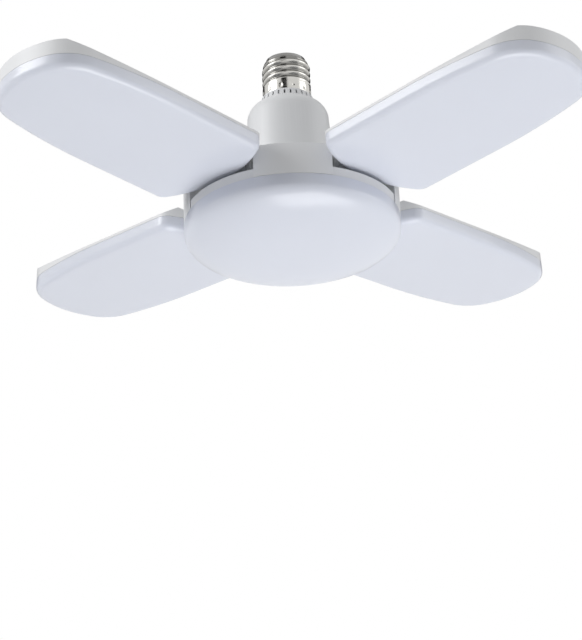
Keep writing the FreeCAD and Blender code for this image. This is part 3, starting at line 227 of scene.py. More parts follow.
def moulding_group():
    """Group shared by the moulded plastics: clouds of colour, specks and a fine skin."""
    group = bpy.data.node_groups.get("moulding")
    if group:
        return group
    group = bpy.data.node_groups.new("moulding", "ShaderNodeTree")
    for name, default in (("Cloud Scale", 18.0), ("Skin Scale", 2600.0)):
        socket = group.interface.new_socket(name=name, in_out="INPUT",
                                            socket_type="NodeSocketFloat")
        socket.default_value = default
    for name in ("Cloud", "Speck", "Skin"):
        group.interface.new_socket(name=name, in_out="OUTPUT", socket_type="NodeSocketFloat")
    enter = group.nodes.new("NodeGroupInput")
    leave = group.nodes.new("NodeGroupOutput")
    place = group.nodes.new("ShaderNodeTexCoord").outputs["Object"]
    for name, scale_socket, detail in (("Cloud", "Cloud Scale", 4.0), ("Skin", "Skin Scale", 2.0)):
        node = group.nodes.new("ShaderNodeTexNoise")
        node.inputs["Detail"].default_value = detail
        group.links.new(place, node.inputs["Vector"])
        group.links.new(enter.outputs[scale_socket], node.inputs["Scale"])
        group.links.new(node.outputs["Fac"], leave.inputs[name])
    cells = group.nodes.new("ShaderNodeTexVoronoi")
    cells.inputs["Scale"].default_value = 260.0
    group.links.new(place, cells.inputs["Vector"])
    spot = remap(group, cells.outputs["Distance"], 0.02, 0.07, 1.0, 0.0)
    group.links.new(spot, leave.inputs["Speck"])
    return group


def use_moulding(tree, cloud_scale, skin_scale):
    node = tree.nodes.new("ShaderNodeGroup")
    node.node_tree = moulding_group()
    node.inputs["Cloud Scale"].default_value = cloud_scale
    node.inputs["Skin Scale"].default_value = skin_scale
    return node.outputs


# ---------------------------------------------------------------- finishes

def moulded_plastic(name, tint, rough):
    """Satin moulded plastic: faint clouds of colour, rare dark specks, patchy sheen and a fine
    spark-eroded skin."""
    material, tree, shader = new_material(name)
    parts = use_moulding(tree, 14.0, 2600.0)
    cloud = remap(tree, parts["Cloud"], 0.3, 0.7, 0.0, 1.0)
    clouded = mix_colour(tree, cloud, scaled(tint, 0.97), scaled(tint, 1.015))
    speck = remap(tree, parts["Speck"], 0.0, 1.0, 0.0, 0.10)
    tree.links.new(mix_colour(tree, speck, clouded, scaled(tint, 0.5)),
                   shader.inputs["Base Color"])
    tree.links.new(remap(tree, parts["Cloud"], 0.25, 0.75, rough - 0.05, rough + 0.06),
                   shader.inputs["Roughness"])
    tree.links.new(bump(tree, parts["Skin"], 0.05, 0.0002), shader.inputs["Normal"])
    shader.inputs["Specular IOR Level"].default_value = 0.45
    return material


def opal_plastic(name, tint):
    """Milky diffuser plastic: light scatters just under a satin surface."""
    material, tree, shader = new_material(name)
    parts = use_moulding(tree, 9.0, 1900.0)
    cloud = remap(tree, parts["Cloud"], 0.3, 0.7, 0.0, 1.0)
    tree.links.new(mix_colour(tree, cloud, scaled(tint, 0.985), scaled(tint, 1.01)),
                   shader.inputs["Base Color"])
    tree.links.new(remap(tree, parts["Cloud"], 0.25, 0.75, 0.27, 0.35),
                   shader.inputs["Roughness"])
    tree.links.new(bump(tree, parts["Skin"], 0.02, 0.0002), shader.inputs["Normal"])
    shader.inputs["Subsurface Weight"].default_value = 0.35
    shader.inputs["Subsurface Radius"].default_value = (1.0, 1.0, 1.0)
    shader.inputs["Subsurface Scale"].default_value = 0.003
    shader.inputs["Coat Weight"].default_value = 0.25
    shader.inputs["Coat Roughness"].default_value = 0.18
    return material


def plated_metal(name, tint, rough, line_scale=160.0, line_stretch=(1.0, 1.0, 18.0)):
    """Plating over formed metal: drawing lines, dull patches and small stains."""
    material, tree, shader = new_material(name)
    lines = noise(tree, object_coordinates(tree, line_stretch), line_scale, 5.0, 0.6)
    patches = noise(tree, object_coordinates(tree), 220.0, 4.0)
    tree.links.new(mix_colour(tree, patches, scaled(tint, 0.84), scaled(tint, 1.1)),
                   shader.inputs["Base Color"])
    tree.links.new(remap(tree, lines, 0.3, 0.7, rough - 0.05, rough + 0.1),
                   shader.inputs["Roughness"])
    tree.links.new(bump(tree, lines, 0.06, 0.0003), shader.inputs["Normal"])
    shader.inputs["Metallic"].default_value = 1.0
    return material


def threaded_plate(name, tint):
    """Plating of the rolled thread: bright on the crests, with painted shade in the roots, where
    the distance from the lamp's axis is smaller."""
    material = plated_metal(name, tint, 0.15)
    tree = material.node_tree
    shader = tree.nodes["Principled BSDF"]
    flat = tree.nodes.new("ShaderNodeVectorMath")
    flat.operation = "MULTIPLY"
    flat.inputs[1].default_value = (1.0, 1.0, 0.0)
    tree.links.new(object_coordinates(tree), flat.inputs[0])
    reach = tree.nodes.new("ShaderNodeVectorMath")
    reach.operation = "LENGTH"
    tree.links.new(flat.outputs[0], reach.inputs[0])
    root, crest = sizes().thread_root, CAP_HIGH.x
    # painted shade: the colour falls to about a third of its own towards the thread's roots
    root_shade = remap(tree, reach.outputs["Value"], root, crest - 0.1 * MM, 0.0, 1.0)
    bright = shader.inputs["Base Color"].links[0].from_socket
    tree.links.new(mix_colour(tree, root_shade, scaled(tint, 0.34), bright),
                   shader.inputs["Base Color"])
    return material


def vitrified_glass(name, tint):
    """Black glass poured round the contact: deep gloss with flow marks."""
    material, tree, shader = new_material(name)
    place = object_coordinates(tree)
    flow = noise(tree, place, 340.0, 4.0)
    tree.links.new(mix_colour(tree, flow, tint, scaled(tint, 2.4)), shader.inputs["Base Color"])
    tree.links.new(remap(tree, flow, 0.3, 0.7, 0.08, 0.2), shader.inputs["Roughness"])
    tree.links.new(bump(tree, flow, 0.12, 0.0004), shader.inputs["Normal"])
    return material


def led_board_lacquer(name, tint):
    """White lacquer over aluminium: copper tracks stand out faintly under it."""
    material, tree, shader = new_material(name)
    place = object_coordinates(tree)
    across = waves(tree, place, 30.0, "X")
    along = waves(tree, place, 30.0, "Y")
    crossing = mix_colour(tree, remap(tree, across, 0.86, 0.92, 0.0, 1.0), (0.0, 0.0, 0.0),
                          (1.0, 1.0, 1.0))
    tracks = mix_colour(tree, remap(tree, along, 0.86, 0.92, 0.0, 1.0), crossing,
                        (1.0, 1.0, 1.0))
    tree.links.new(mix_colour(tree, tracks, tint, scaled(tint, 0.9)),
                   shader.inputs["Base Color"])
    tree.links.new(remap(tree, noise(tree, place, 60.0), 0.3, 0.7, 0.3, 0.42),
                   shader.inputs["Roughness"])
    tree.links.new(bump(tree, tracks, 0.2, 0.0001), shader.inputs["Normal"])
    return material


def led_gel(name, tint):
    """Yellow phosphor gel in its package, with settled grains."""
    material, tree, shader = new_material(name)
    grains = noise(tree, object_coordinates(tree), 3200.0, 3.0)
    tree.links.new(mix_colour(tree, grains, scaled(tint, 0.8), scaled(tint, 1.15)),
                   shader.inputs["Base Color"])
    tree.links.new(remap(tree, grains, 0.3, 0.7, 0.18, 0.34), shader.inputs["Roughness"])
    tree.links.new(bump(tree, grains, 0.1, 0.0001), shader.inputs["Normal"])
    return material


def circuit_laminate(name, tint):
    """Green laminate: woven glass under the mask and lighter tracks."""
    material, tree, shader = new_material(name)
    place = object_coordinates(tree)
    weave = waves(tree, place, 420.0, "X")
    tracks = remap(tree, waves(tree, place, 60.0, "Z", 6.0), 0.7, 0.78, 0.0, 1.0)
    woven = mix_colour(tree, weave, scaled(tint, 0.85), scaled(tint, 1.1))
    tree.links.new(mix_colour(tree, tracks, woven, scaled(tint, 2.2)),
                   shader.inputs["Base Color"])
    tree.links.new(remap(tree, weave, 0.0, 1.0, 0.3, 0.4), shader.inputs["Roughness"])
    tree.links.new(bump(tree, tracks, 0.3, 0.0001), shader.inputs["Normal"])
    return material


def wound_wire(name, tint):
    """Enamelled wire wound round a core: close turns that catch the light."""
    material, tree, shader = new_material(name)
    turns = waves(tree, object_coordinates(tree), 520.0, "Z")
    tree.links.new(mix_colour(tree, turns, scaled(tint, 0.45), scaled(tint, 1.3)),
                   shader.inputs["Base Color"])
    tree.links.new(remap(tree, turns, 0.0, 1.0, 0.42, 0.22), shader.inputs["Roughness"])
    tree.links.new(bump(tree, turns, 0.8, 0.0003), shader.inputs["Normal"])
    return material


def component_case(name, tint, rough, grain):
    """Moulded or dipped case of a component: grain, soft mottling and worn sheen."""
    material, tree, shader = new_material(name)
    place = object_coordinates(tree)
    mottle = noise(tree, place, grain, 4.0)
    skin = noise(tree, place, grain * 8.0, 2.0)
    tree.links.new(mix_colour(tree, mottle, scaled(tint, 0.82), scaled(tint, 1.18)),
                   shader.inputs["Base Color"])
    tree.links.new(remap(tree, mottle, 0.3, 0.7, rough - 0.06, rough + 0.06),
                   shader.inputs["Roughness"])
    tree.links.new(bump(tree, skin, 0.15, 0.0001), shader.inputs["Normal"])
    return material


# ---------------------------------------------------------------- mesh helpers

def add_piece(name, points, faces, body, material, nodes=()):
    """A smooth mesh piece in the frame's own coordinates. Doubles at poles are merged and the
    faces turned outwards before it rides on its body."""
    mesh = bpy.data.meshes.new(name)
    mesh.from_pydata(points.reshape(-1, 3), [], faces)
    build = bmesh.new()
    build.from_mesh(mesh)
    bmesh.ops.remove_doubles(build, verts=build.verts, dist=1e-6)
    bmesh.ops.recalc_face_normals(build, faces=build.faces)
    build.to_mesh(mesh)
    build.free()
    mesh.materials.append(material)
    mesh.shade_smooth()
    mesh.set_sharp_from_angle(angle=math.radians(38.0))
    piece = bpy.data.objects.new(name, mesh)
    bpy.context.scene.collection.objects.link(piece)
    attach(piece, body)
    if nodes:
        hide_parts(*nodes)
    return piece


def grid_faces(rows, columns, wrap_rows=False):
    """Quads of a rows by columns grid whose columns close round on themselves."""
    row = np.arange(rows if wrap_rows else rows - 1)
    i, j = np.meshgrid(row, np.arange(columns), indexing="ij")
    after_i, after_j = (i + 1) % rows, (j + 1) % columns
    return np.stack([i * columns + j, i * columns + after_j, after_i * columns + after_j,
                     after_i * columns + j], axis=-1).reshape(-1, 4)


def turned(profile, around):
    """Points of a profile of (radius, height) pairs turned round the lamp's axis:
    x = radius cos(angle), y = radius sin(angle)."""
    angle = np.linspace(0.0, 2.0 * np.pi, around, endpoint=False)
    radius, height = profile[:, :1], profile[:, 1:]
    return np.stack([radius * np.cos(angle), radius * np.sin(angle),
                     height + 0.0 * angle], axis=-1)


def rounded_profile(corners, rounding, steps=6):
    """Closed profile through corners, each rounded by a quadratic curve that starts and ends at
    the given distance from the corner."""
    corners = np.array(corners)
    share = np.linspace(0.0, 1.0, steps)[:, None]
    runs = []
    for before, corner, after in zip(np.roll(corners, 1, 0), corners, np.roll(corners, -1, 0)):
        ends = []
        for other in (before, after):
            way = other - corner
            reach = min(rounding / np.linalg.norm(way), 0.45)
            ends.append(corner + way * reach)
        runs.append(ends[0] * (1 - share) ** 2 + corner * 2 * share * (1 - share)
                    + ends[1] * share ** 2)
    return np.concatenate(runs)


def softened(node, name, body, material, width):
    """A piece that stands for a CAD node: its merged mesh with flat faces joined and every crisp
    edge rounded by a narrow bevel."""
    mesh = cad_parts[node].data.copy()
    mesh.name = name
    build = bmesh.new()
    build.from_mesh(mesh)
    bmesh.ops.remove_doubles(build, verts=build.verts, dist=2e-6)
    bmesh.ops.dissolve_limit(build, angle_limit=math.radians(0.4), verts=build.verts,
                             edges=build.edges)
    build.to_mesh(mesh)
    build.free()
    mesh.materials.clear()
    mesh.materials.append(material)
    mesh.shade_smooth()
    mesh.set_sharp_from_angle(angle=math.radians(32.0))
    piece = bpy.data.objects.new(name, mesh)
    bpy.context.scene.collection.objects.link(piece)
    bevel = piece.modifiers.new("edges", "BEVEL")
    bevel.width = width
    bevel.segments = 2
    bevel.limit_method = "ANGLE"
    bevel.angle_limit = math.radians(32.0)
    bevel.use_clamp_overlap = True
    bevel.harden_normals = True
    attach(piece, body)
    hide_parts(node)
    return piece


def dress(material, *nodes):
    """Gives CAD nodes their finish."""
    for node in nodes:
        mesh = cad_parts[node].data
        mesh.materials.clear()
        mesh.materials.append(material)


def each_leaf(ending):
    return [f"leaf_{number}_{ending}" for number in LEAVES]


# ---------------------------------------------------------------- leaf outline

def arc(centre, radius, start, end, count):
    """Points of an arc without its last one, angles in radians."""
    angle = np.linspace(start, end, count, endpoint=False)
    return np.stack([centre[0] + radius * np.cos(angle), centre[1] + radius * np.sin(angle)], -1)


def leaf_outline(inset):
    """Outline of a leaf moved inwards by an inset. One half runs from the tip to the root along
    tangent arcs: the tip, its corner, the long side, a straight, the root corner and the root.
    Every arc keeps its centre, and its radius shrinks by the inset. The other half is its mirror
    image."""
    size = sizes()
    half = size.leaf_half
    tip_centre = np.array([size.leaf_tip - size.tip_arc, 0.0])
    root_centre = np.array([size.leaf_root + size.root_arc, 0.0])
    side_centre = np.array([size.side_arc_start, half - size.side_arc])
    from_side, from_tip = size.side_arc - size.tip_corner, size.tip_arc - size.tip_corner
    apart = tip_centre - side_centre
    distance = np.hypot(*apart)
    along = (from_side ** 2 - from_tip ** 2 + distance ** 2) / (2 * distance)
    off = math.sqrt(from_side ** 2 - along ** 2)
    unit = apart / distance
    far = side_centre + unit * along + np.array([unit[1], -unit[0]]) * off
    near_y = half - size.root_corner
    near = np.array([root_centre[0] - math.sqrt((size.root_arc - size.root_corner) ** 2
                                                - near_y ** 2), near_y])
    tip_turn = math.atan2(*(far - tip_centre)[::-1])
    side_turn = math.atan2(*(far - side_centre)[::-1])
    root_turn = math.atan2(*(near - root_centre)[::-1])
    straight = np.linspace(size.side_arc_start, near[0], 16, endpoint=False)
    upper = np.concatenate([
        arc(tip_centre, size.tip_arc - inset, 0.0, tip_turn, 12),
        arc(far, size.tip_corner - inset, tip_turn, side_turn, 16),
        arc(side_centre, size.side_arc - inset, side_turn, math.pi / 2, 12),
        np.stack([straight, np.full(16, half - inset)], -1),
        arc(near, size.root_corner - inset, math.pi / 2, root_turn, 10),
        arc(root_centre, size.root_arc - inset, root_turn, math.pi, 12)])
    root_end = np.array([[size.leaf_root + inset, 0.0]])
    return np.concatenate([upper, root_end, upper[:0:-1] * (1.0, -1.0)])


def lens_rings(wall, steps=14):
    """Rings of the leaf lens's outer surface (wall 0) or of its inner one. The wall drops
    upright, rolls over the edge along a quarter circle, and then the last outline closes in on
    the leaf's middle line while the face swells down by the crown:
    height = face + crown (1 - share)^2 at a share of the way from edge to middle."""
    size = sizes()
    top, face = size.leaf_front + size.leaf_lens_height, size.leaf_front + wall
    edge = size.leaf_lens_edge - wall
    rings = [(leaf_outline(wall), top)]
    for turn in np.linspace(0.0, np.pi / 2, 7):
        inset = wall + edge * (1.0 - math.cos(turn))
        rings.append((leaf_outline(inset), face + size.leaf_crown + edge * (1 - math.sin(turn))))
    last = rings[-1][0]
    spine = np.stack([np.clip(last[:, 0], size.leaf_root + size.leaf_half,
                              size.leaf_tip - size.leaf_half), 0.0 * last[:, 1]], -1)
    for share in np.linspace(0.0, 1.0, steps)[1:]:
        ring = last + (spine - last) * share
        rings.append((ring, face + size.leaf_crown * (1.0 - share) ** 2))
    return np.stack([np.concatenate([ring, np.full((len(ring), 1), height)], -1)
                     for ring, height in rings])


def into_bay(points, number):
    """Tilts a leaf's points about its hinge pin, lowers them to the seam's level and turns them
    into their bay."""
    size = sizes()
    pin = np.array([size.hinge_distance, 0.0, size.hinge_height])
    tilt = np.array(Matrix.Rotation(-size.leaf_tilt, 3, "Y"))
    turn = np.array(Matrix.Rotation(math.radians(90.0 * (number - 1)), 3, "Z"))
    placed = (points - pin) @ tilt.T + pin
    return (placed + (0.0, 0.0, SEAM)) @ turn.T


# ---------------------------------------------------------------- operators

class GARAGELIGHT_OT_housing(bpy.types.Operator):
    """Makes the hub, the neck and the ribbed shells"""

    bl_idname = "garage_light.housing"
    bl_label = "Housing"

    def execute(self, context):
        white = moulded_plastic("satin_white_housing", colours().housing, 0.40)
        softened("neck_housing", "neck", "hub", white, 0.30 * MM)
        softened("hub_cover", "hub_housing", "hub", white, 0.45 * MM)
        softened("hub_base", "hub_tray", "hub", white, 0.25 * MM)
        for number in LEAVES:
            softened(f"leaf_{number}_shell", f"leaf_{number}_ribbed_back", f"leaf_{number}",
                     white, 0.45 * MM)
        nylon = moulded_plastic("grey_nylon", colours().bracket, 0.5)
        dress(nylon, *each_leaf("hinge_bracket"))
        return {"FINISHED"}


class GARAGELIGHT_OT_lenses(bpy.types.Operator):
    """Makes the opal lenses"""

    bl_idname = "garage_light.lenses"
    bl_label = "Opal lenses"

    def execute(self, context):
        opal = opal_plastic("milky_opal", colours().opal)
        points = turned(self.hub_profile(), 180)
        add_piece("hub_lens", points, grid_faces(points.shape[0], 180), "hub",
                  opal, ["centre_diffuser"])
        outside, inside = lens_rings(0.0), lens_rings(sizes().leaf_lens_wall)
        rings = np.concatenate([outside[::-1], inside])
        faces = grid_faces(rings.shape[0], rings.shape[1])
        for number in LEAVES:
            add_piece(f"leaf_{number}_lens", into_bay(rings, number), faces, f"leaf_{number}",
                      opal, [f"leaf_{number}_diffuser"])
        return {"FINISHED"}

    def hub_profile(self):
        """Profile of the hub lens from the outer pole over the skirt to the inner pole. Outside,
        (radius / R)^fullness + (drop / depth)^2 = 1 below the upright skirt; inside is the same
        curve with R and depth smaller by the wall."""
        size = sizes()
        turn = np.linspace(0.0, np.pi / 2, 72)
        radius = LENS_HIGH.x
        depth = SEAM - LENS_LOW.z - size.lens_skirt

        def bowl(shrink):
            return np.stack([(radius - shrink) * np.sin(turn) ** (2.0 / size.lens_fullness),
                             SEAM - size.lens_skirt - (depth - shrink) * np.cos(turn)], -1)

        edge, edge_middle = 0.4 * MM, 0.12 * MM
        lip_outside = radius - 4.4 * MM
        lip_inside = lip_outside - 1.4 * MM
        rim = np.array([
            [radius, SEAM - edge], [radius - edge_middle, SEAM - edge_middle],
            [radius - edge, SEAM], [lip_outside, SEAM], [lip_outside, LENS_HIGH.z],
            [lip_inside, LENS_HIGH.z], [lip_inside, SEAM - size.lens_wall],
            [radius - size.lens_wall, SEAM - size.lens_wall]])
        return np.concatenate([bowl(0.0), rim, bowl(size.lens_wall)[::-1]])


class GARAGELIGHT_OT_cap(bpy.types.Operator):
    """Makes the screw cap with its rolled thread, the glass ring and the contact"""

    bl_idname = "garage_light.cap"
    bl_label = "Screw cap"

    around = 288

    def execute(self, context):
        nickel = threaded_plate("nickel_plate", colours().nickel)
        points = self.shell_points()
        add_piece("threaded_cap", points, grid_faces(points.shape[0], self.around, True), "hub",
                  nickel, ["cap_shell"])
        self.make_ring()
        self.make_contact()
        return {"FINISHED"}

    def shell_points(self):
        """Outer wall, turned-in lip and inner wall as one closed band. On the thread the radius
        is root + (crest - root) (1 + cos(2 pi height / pitch - angle)) / 2, faded into the plain
        skirt below and the shoulder above. The skirt has a row of punched dimples."""
        size = sizes()
        crest, root = CAP_HIGH.x, size.thread_root
        thread = size.thread_pitch * size.thread_turns
        start, end = size.cap_skirt, size.cap_skirt + thread
        angle = np.linspace(0.0, 2.0 * np.pi, self.around, endpoint=False)[None, :]
        height = np.concatenate([np.linspace(0.0, start, 34), np.linspace(start, end, 92)[1:]])
        height = height[:, None]
        wave = (1.0 + np.cos(2.0 * np.pi * height / size.thread_pitch - angle)) / 2.0
        rolled = root + (crest - root) * wave
        fade, lead_in = 2.4 * MM, 0.8 * MM
        rising = self.smooth((height - start + lead_in) / fade)
        falling = self.smooth((height - end + fade) / fade)
        radius = crest + (rolled - crest) * rising
        radius = radius + (root - radius) * falling
        pitch_angle = 2.0 * np.pi / size.punch_count
        offset = (angle + pitch_angle / 2) % pitch_angle - pitch_angle / 2
        mark_width, mark_height = 0.65 * MM, 1.0 * MM
        dimple = np.exp(-(offset * crest / mark_width) ** 2
                        - ((height - size.punch_height) / mark_height) ** 2)
        radius = radius - size.punch_depth * dimple
        rim_roll = 0.25 * MM
        radius = radius - rim_roll * np.exp(-height / rim_roll)
        outer = self.place(radius, height, angle)
        lip = size.cap_lip
        shoulder_round = 0.35 * MM
        glass = CAP_HIGH.z - CAP_RIM
        neck_in = np.array([
            [root - shoulder_round, end + shoulder_round],
            [lip + 0.5 * MM, glass - shoulder_round],
            [lip, glass], [lip - size.cap_wall, glass], [lip - size.cap_wall, end],
            [root - size.cap_wall, end - size.cap_wall], [root - size.cap_wall, start],
            [crest - size.cap_wall, start - size.cap_wall], [crest - size.cap_wall, 0.0]])
        inner = self.place(neck_in[:, :1] + 0.0 * angle, neck_in[:, 1:], angle)
        return np.concatenate([outer, inner])

    def smooth(self, share):
        share = np.clip(share, 0.0, 1.0)
        return share * share * (3.0 - 2.0 * share)

    def place(self, radius, height, angle):
        return np.stack([radius * np.cos(angle), radius * np.sin(angle),
                         CAP_RIM + height + 0.0 * angle], -1)

    def make_ring(self):
        """Glass ring: a cone with softly rounded shoulders between the cap's lip and contact."""
        size = sizes()
        inner, outer = size.contact_stem, RING_HIGH.x
        shoulder_round = 0.5 * MM
        profile = rounded_profile([
            (inner, RING_LOW.z), (outer, RING_LOW.z), (outer, CAP_HIGH.z),
            (size.ring_top, RING_HIGH.z), (inner, RING_HIGH.z)], shoulder_round)
        points = turned(profile, 96)
        add_piece("glass_ring", points, grid_faces(len(profile), 96, True), "hub",
                  vitrified_glass("black_glass", colours().glass), ["cap_insulator"])

    def make_contact(self):
        """Contact: a stem, a rolled disc and a low dome of solder on it."""
        size = sizes()
        stem, radius = size.contact_stem, CONTACT_HIGH.x
        under, top = CONTACT_HIGH.z - size.contact_height, CONTACT_HIGH.z
        disc_side, disc_round = 0.55 * MM, 0.45 * MM
        disc_top = under + disc_side + disc_round
        solder_radius = radius * 0.80
        turn = np.linspace(0.0, np.pi / 2, 14)
        dome = np.stack([solder_radius * np.cos(turn),
                         disc_top + (top - disc_top) * np.sin(turn)], -1)
        edge = np.stack([radius - disc_round * (1 - np.cos(turn)),
                         under + disc_side + disc_round * np.sin(turn)], -1)
        foot = np.array([[0.0, CONTACT_LOW.z], [stem, CONTACT_LOW.z], [stem, under],
                         [radius, under]])
        profile = np.concatenate([foot, edge, dome])
        points = turned(profile, 72)
        add_piece("solder_contact", points, grid_faces(len(profile), 72), "hub",
                  plated_metal("tinned_contact", colours().solder, 0.34, 900.0,
                                                (1.0, 1.0, 1.0)), ["centre_contact"])


class GARAGELIGHT_OT_fasteners(bpy.types.Operator):
    """Finishes the screws, hinge pins and washers"""

    bl_idname = "garage_light.fasteners"
    bl_label = "Screws, pins and washers"

    def execute(self, context):
        zinc = plated_metal("zinc_plate", colours().zinc, 0.3, 700.0, (1.0, 1.0, 1.0))
        dress(zinc, "hub_screws", *each_leaf("end_screw"), *each_leaf("hinge_pin"))
        spring = plated_metal("spring_steel", scaled(colours().zinc, 0.8), 0.36, 400.0,
                              (6.0, 6.0, 1.0))
        dress(spring, *each_leaf("friction_washers"))
        return {"FINISHED"}


class GARAGELIGHT_OT_lamps(bpy.types.Operator):
    """Finishes the LED boards and the LEDs"""

    bl_idname = "garage_light.lamps"
    bl_label = "LED boards"

    def execute(self, context):
        dress(led_board_lacquer("white_solder_mask", colours().mask), "centre_board",
              *each_leaf("board"))
        dress(led_gel("led_phosphor", colours().phosphor), "centre_leds", *each_leaf("leds"))
        return {"FINISHED"}


class GARAGELIGHT_OT_driver(bpy.types.Operator):
    """Finishes the driver in the neck and its leads"""

    bl_idname = "garage_light.driver"
    bl_label = "Driver"

    def execute(self, context):
        tint = colours()
        dress(circuit_laminate("green_laminate", tint.laminate), "driver_board")
        dress(component_case("shrink_sleeve", tint.sleeve, 0.3, 400.0), "electrolytic_capacitor")
        dress(component_case("film_case", tint.film, 0.34, 500.0), "film_capacitor")
        dress(wound_wire("enamelled_winding", tint.winding), "inductor")
        dress(component_case("black_resin", tint.resin, 0.5, 900.0), "bridge_rectifier",
              "driver_chip")
        dress(component_case("resistor_lacquer", tint.lacquer, 0.42, 700.0), "fusible_resistor")
        dress(component_case("lead_insulation", tint.insulation, 0.45, 600.0), "live_lead",
              "neutral_lead", "positive_lead", "negative_lead")
        return {"FINISHED"}


# ---------------------------------------------------------------- stage

CAMERA_BELOW = math.radians(26.65)      # how far below the horizon the camera stands
CAMERA_TURN = math.radians(45.0 - 1.55)
CAMERA_DISTANCE = 1.250
CAMERA_ROLL = math.radians(2.47)
FOCAL_PIXELS = 1.89 * 1250.0            # photograph pixels
PICTURE = (582, 640)
SEAM_PIXEL = (292.5, 223.3)
FLOOR_LEVEL = -2.6
WORLD_LIGHT = 0.42
LIGHTS = (                              # name, (right, up, out), width, height, power
    ("key", (-1.3, 0.5, 0.5), 0.8, 0.8, 12.0),
    ("fill", (1.4, 0.3, 0.2), 0.8, 1.0, 4.5),
    ("below", (0.3, -1.6, 0.1), 1.2, 1.2, 15.5))
CARDS = (                               # name, bearing from the camera in degrees, width
    ("card_centre", -11.0, 0.30), ("card_left", -150.0, 0.44), ("card_right", 156.0, 0.40))
CARD_HEIGHT, CARD_DISTANCE = 0.62, 0.6


def make_camera():
    """Camera below the lamp, looking up. The lens's long side matches the picture's height, and
    the aim is turned so that the seam's centre falls on its pixel."""
    data = bpy.data.cameras.new("camera")
    data.sensor_fit = "AUTO"
    data.sensor_width = 36.0
    data.lens = data.sensor_width * FOCAL_PIXELS / PICTURE[1]
    camera = bpy.data.objects.new("camera", data)
    bpy.context.scene.collection.objects.link(camera)
    target = Vector((0.0, 0.0, SEAM))
    back = Vector((math.sin(CAMERA_TURN) * math.cos(CAMERA_BELOW),
                   -math.cos(CAMERA_TURN) * math.cos(CAMERA_BELOW), -math.sin(CAMERA_BELOW)))
    turn = (-back).to_track_quat("-Z", "Y").to_matrix() @ Matrix.Rotation(-CAMERA_ROLL, 3, "Z")
    across = (SEAM_PIXEL[0] - PICTURE[0] / 2) / FOCAL_PIXELS
    down = (SEAM_PIXEL[1] - PICTURE[1] / 2) / FOCAL_PIXELS
    aim = Matrix.Rotation(math.atan(down), 3, "X") @ Matrix.Rotation(math.atan(across), 3, "Y")
    stand = Matrix.Translation(target + back * CAMERA_DISTANCE)
    camera.matrix_world = stand @ (turn @ aim).to_4x4()
    data.clip_start, data.clip_end = 0.05, 50.0
    bpy.context.scene.camera = camera


def beside_camera(right, up, out):
    """A place given by how far it is to the camera's right, above the origin, and out from the
    lamp's axis towards the camera."""
    across = Vector((math.cos(CAMERA_TURN), math.sin(CAMERA_TURN), 0.0))
    toward = Vector((math.sin(CAMERA_TURN), -math.cos(CAMERA_TURN), 0.0))
    return across * right + toward * out + Vector((0.0, 0.0, up))


def stage_plane(name, middle, facing, width, height, material):
    """A flat stage piece round a middle point that faces a given way, upright edges upright."""
    turn = facing.to_track_quat("Z", "Y").to_matrix()
    corners = [middle + turn @ Vector((x * width / 2, y * height / 2, 0.0))
               for x, y in ((-1, -1), (1, -1), (1, 1), (-1, 1))]
    mesh = bpy.data.meshes.new(name)
    mesh.from_pydata(corners, [], [(0, 1, 2, 3)])
    mesh.materials.append(material)
    plane = bpy.data.objects.new(name, mesh)
    bpy.context.scene.collection.objects.link(plane)
    return plane


def looking_rays(tree):
    """One for what the camera sees, straight or through metal and glass, else zero."""
    path = tree.nodes.new("ShaderNodeLightPath")
    seen = path.outputs["Is Camera Ray"]
    for name in ("Is Glossy Ray", "Is Transmission Ray"):
        either = tree.nodes.new("ShaderNodeMath")
        either.operation = "MAXIMUM"
        tree.links.new(seen, either.inputs[0])
        tree.links.new(path.outputs[name], either.inputs[1])
        seen = either.outputs["Value"]
    return seen


def floor_paint():
    """Pale floor paint with faint clouds, which looks as white as the backdrop."""
    material, tree, shader = new_material("floor_paint")
    tint = (0.9, 0.9, 0.9)
    cloud = noise(tree, object_coordinates(tree), 1.5)
    tree.links.new(mix_colour(tree, cloud, scaled(tint, 0.99), tint), shader.inputs["Base Color"])
    shader.inputs["Roughness"].default_value = 0.9
    white = tree.nodes.new("ShaderNodeEmission")
    choose = tree.nodes.new("ShaderNodeMixShader")
    tree.links.new(looking_rays(tree), choose.inputs["Fac"])
    tree.links.new(shader.outputs["BSDF"], choose.inputs[1])
    tree.links.new(white.outputs["Emission"], choose.inputs[2])
    tree.links.new(choose.outputs["Shader"], tree.nodes["Material Output"].inputs["Surface"])
    return material


def card_black():
    """Dark card of the studio, which only reflections see."""
    material, _, shader = new_material("card_black")
    shader.inputs["Base Color"].default_value = (0.02, 0.02, 0.02, 1.0)
    shader.inputs["Roughness"].default_value = 1.0
    shader.inputs["Specular IOR Level"].default_value = 0.0
    return material


def make_cards():
    """Dark upright cards round the cap, which its metal reflects. The camera looks up, so its
    mirrored ray keeps rising by the same angle and meets a card that far above the cap."""
    black = card_black()
    cap_middle = CAP_RIM + 12.0 * MM
    level = cap_middle + CARD_DISTANCE * math.tan(CAMERA_BELOW)
    for name, bearing, width in CARDS:
        turn = math.radians(bearing)
        middle = beside_camera(CARD_DISTANCE * math.sin(turn), level,
                               CARD_DISTANCE * math.cos(turn))
        inwards = Vector((-middle.x, -middle.y, 0.0))
        card = stage_plane(name, middle, inwards, width, CARD_HEIGHT, black)
        card.visible_camera = False
        card.visible_diffuse = False
        card.visible_shadow = False
        card.visible_transmission = False


def make_world():
    """White for the camera, for metal and for glass, dimmer as a source of light."""
    world = bpy.data.worlds.new("studio")
    bpy.context.scene.world = world
    world.use_nodes = True
    tree = world.node_tree
    background = tree.nodes["Background"]
    background.inputs["Color"].default_value = (1.0, 1.0, 1.0, 1.0)
    tree.links.new(remap(tree, looking_rays(tree), 0.0, 1.0, WORLD_LIGHT, 1.0),
                   background.inputs["Strength"])


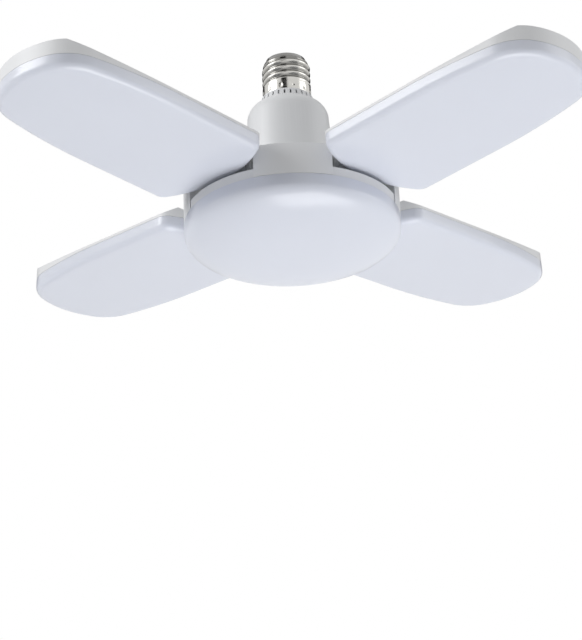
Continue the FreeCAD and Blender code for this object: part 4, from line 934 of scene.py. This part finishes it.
def area_light(name, place, target, width, height, power):
    data = bpy.data.lights.new(name, "AREA")
    data.shape = "RECTANGLE"
    data.size, data.size_y = width, height
    data.energy = power
    light = bpy.data.objects.new(name, data)
    bpy.context.scene.collection.objects.link(light)
    light.location = place
    light.rotation_mode = "QUATERNION"
    light.rotation_quaternion = (Vector(target) - Vector(place)).to_track_quat("-Z", "Y")


class GARAGELIGHT_OT_stage(bpy.types.Operator):
    """Makes the floor, the light and the camera"""

    bl_idname = "garage_light.stage"
    bl_label = "Studio"

    def execute(self, context):
        make_camera()
        stage_plane("floor", Vector((0.0, 0.0, FLOOR_LEVEL)), Vector((0.0, 0.0, 1.0)), 24.0, 24.0,
                    floor_paint())
        make_cards()
        make_world()
        hub = (0.0, 0.0, SEAM)
        for name, place, width, height, power in LIGHTS:
            area_light(name, beside_camera(*place), hub, width, height, power)
        context.scene.view_settings.view_transform = "Standard"
        return {"FINISHED"}


class GARAGELIGHT_PT_panel(bpy.types.Panel):
    """Lists the lamp's pieces"""

    bl_label = "Garage Light"
    bl_idname = "GARAGELIGHT_PT_panel"
    bl_space_type = "VIEW_3D"
    bl_region_type = "UI"
    bl_category = "Garage Light"

    def draw(self, context):
        for operator in OPERATORS:
            self.layout.operator(operator.bl_idname)


OPERATORS = (
    GARAGELIGHT_OT_housing, GARAGELIGHT_OT_lenses, GARAGELIGHT_OT_cap, GARAGELIGHT_OT_fasteners,
    GARAGELIGHT_OT_lamps, GARAGELIGHT_OT_driver, GARAGELIGHT_OT_stage)
CLASSES = (LightSizes, LightColours, *OPERATORS, GARAGELIGHT_PT_panel)


def register():
    for item in CLASSES:
        bpy.utils.register_class(item)
    bpy.types.Scene.garage_light_sizes = bpy.props.PointerProperty(type=LightSizes)
    bpy.types.Scene.garage_light_colours = bpy.props.PointerProperty(type=LightColours)


def unregister():
    del bpy.types.Scene.garage_light_colours
    del bpy.types.Scene.garage_light_sizes
    for item in reversed(CLASSES):
        bpy.utils.unregister_class(item)


def main():
    register()
    for operator in OPERATORS:
        getattr(bpy.ops.garage_light, operator.bl_idname.split(".")[1])()


if __name__ == "__main__":
    main()
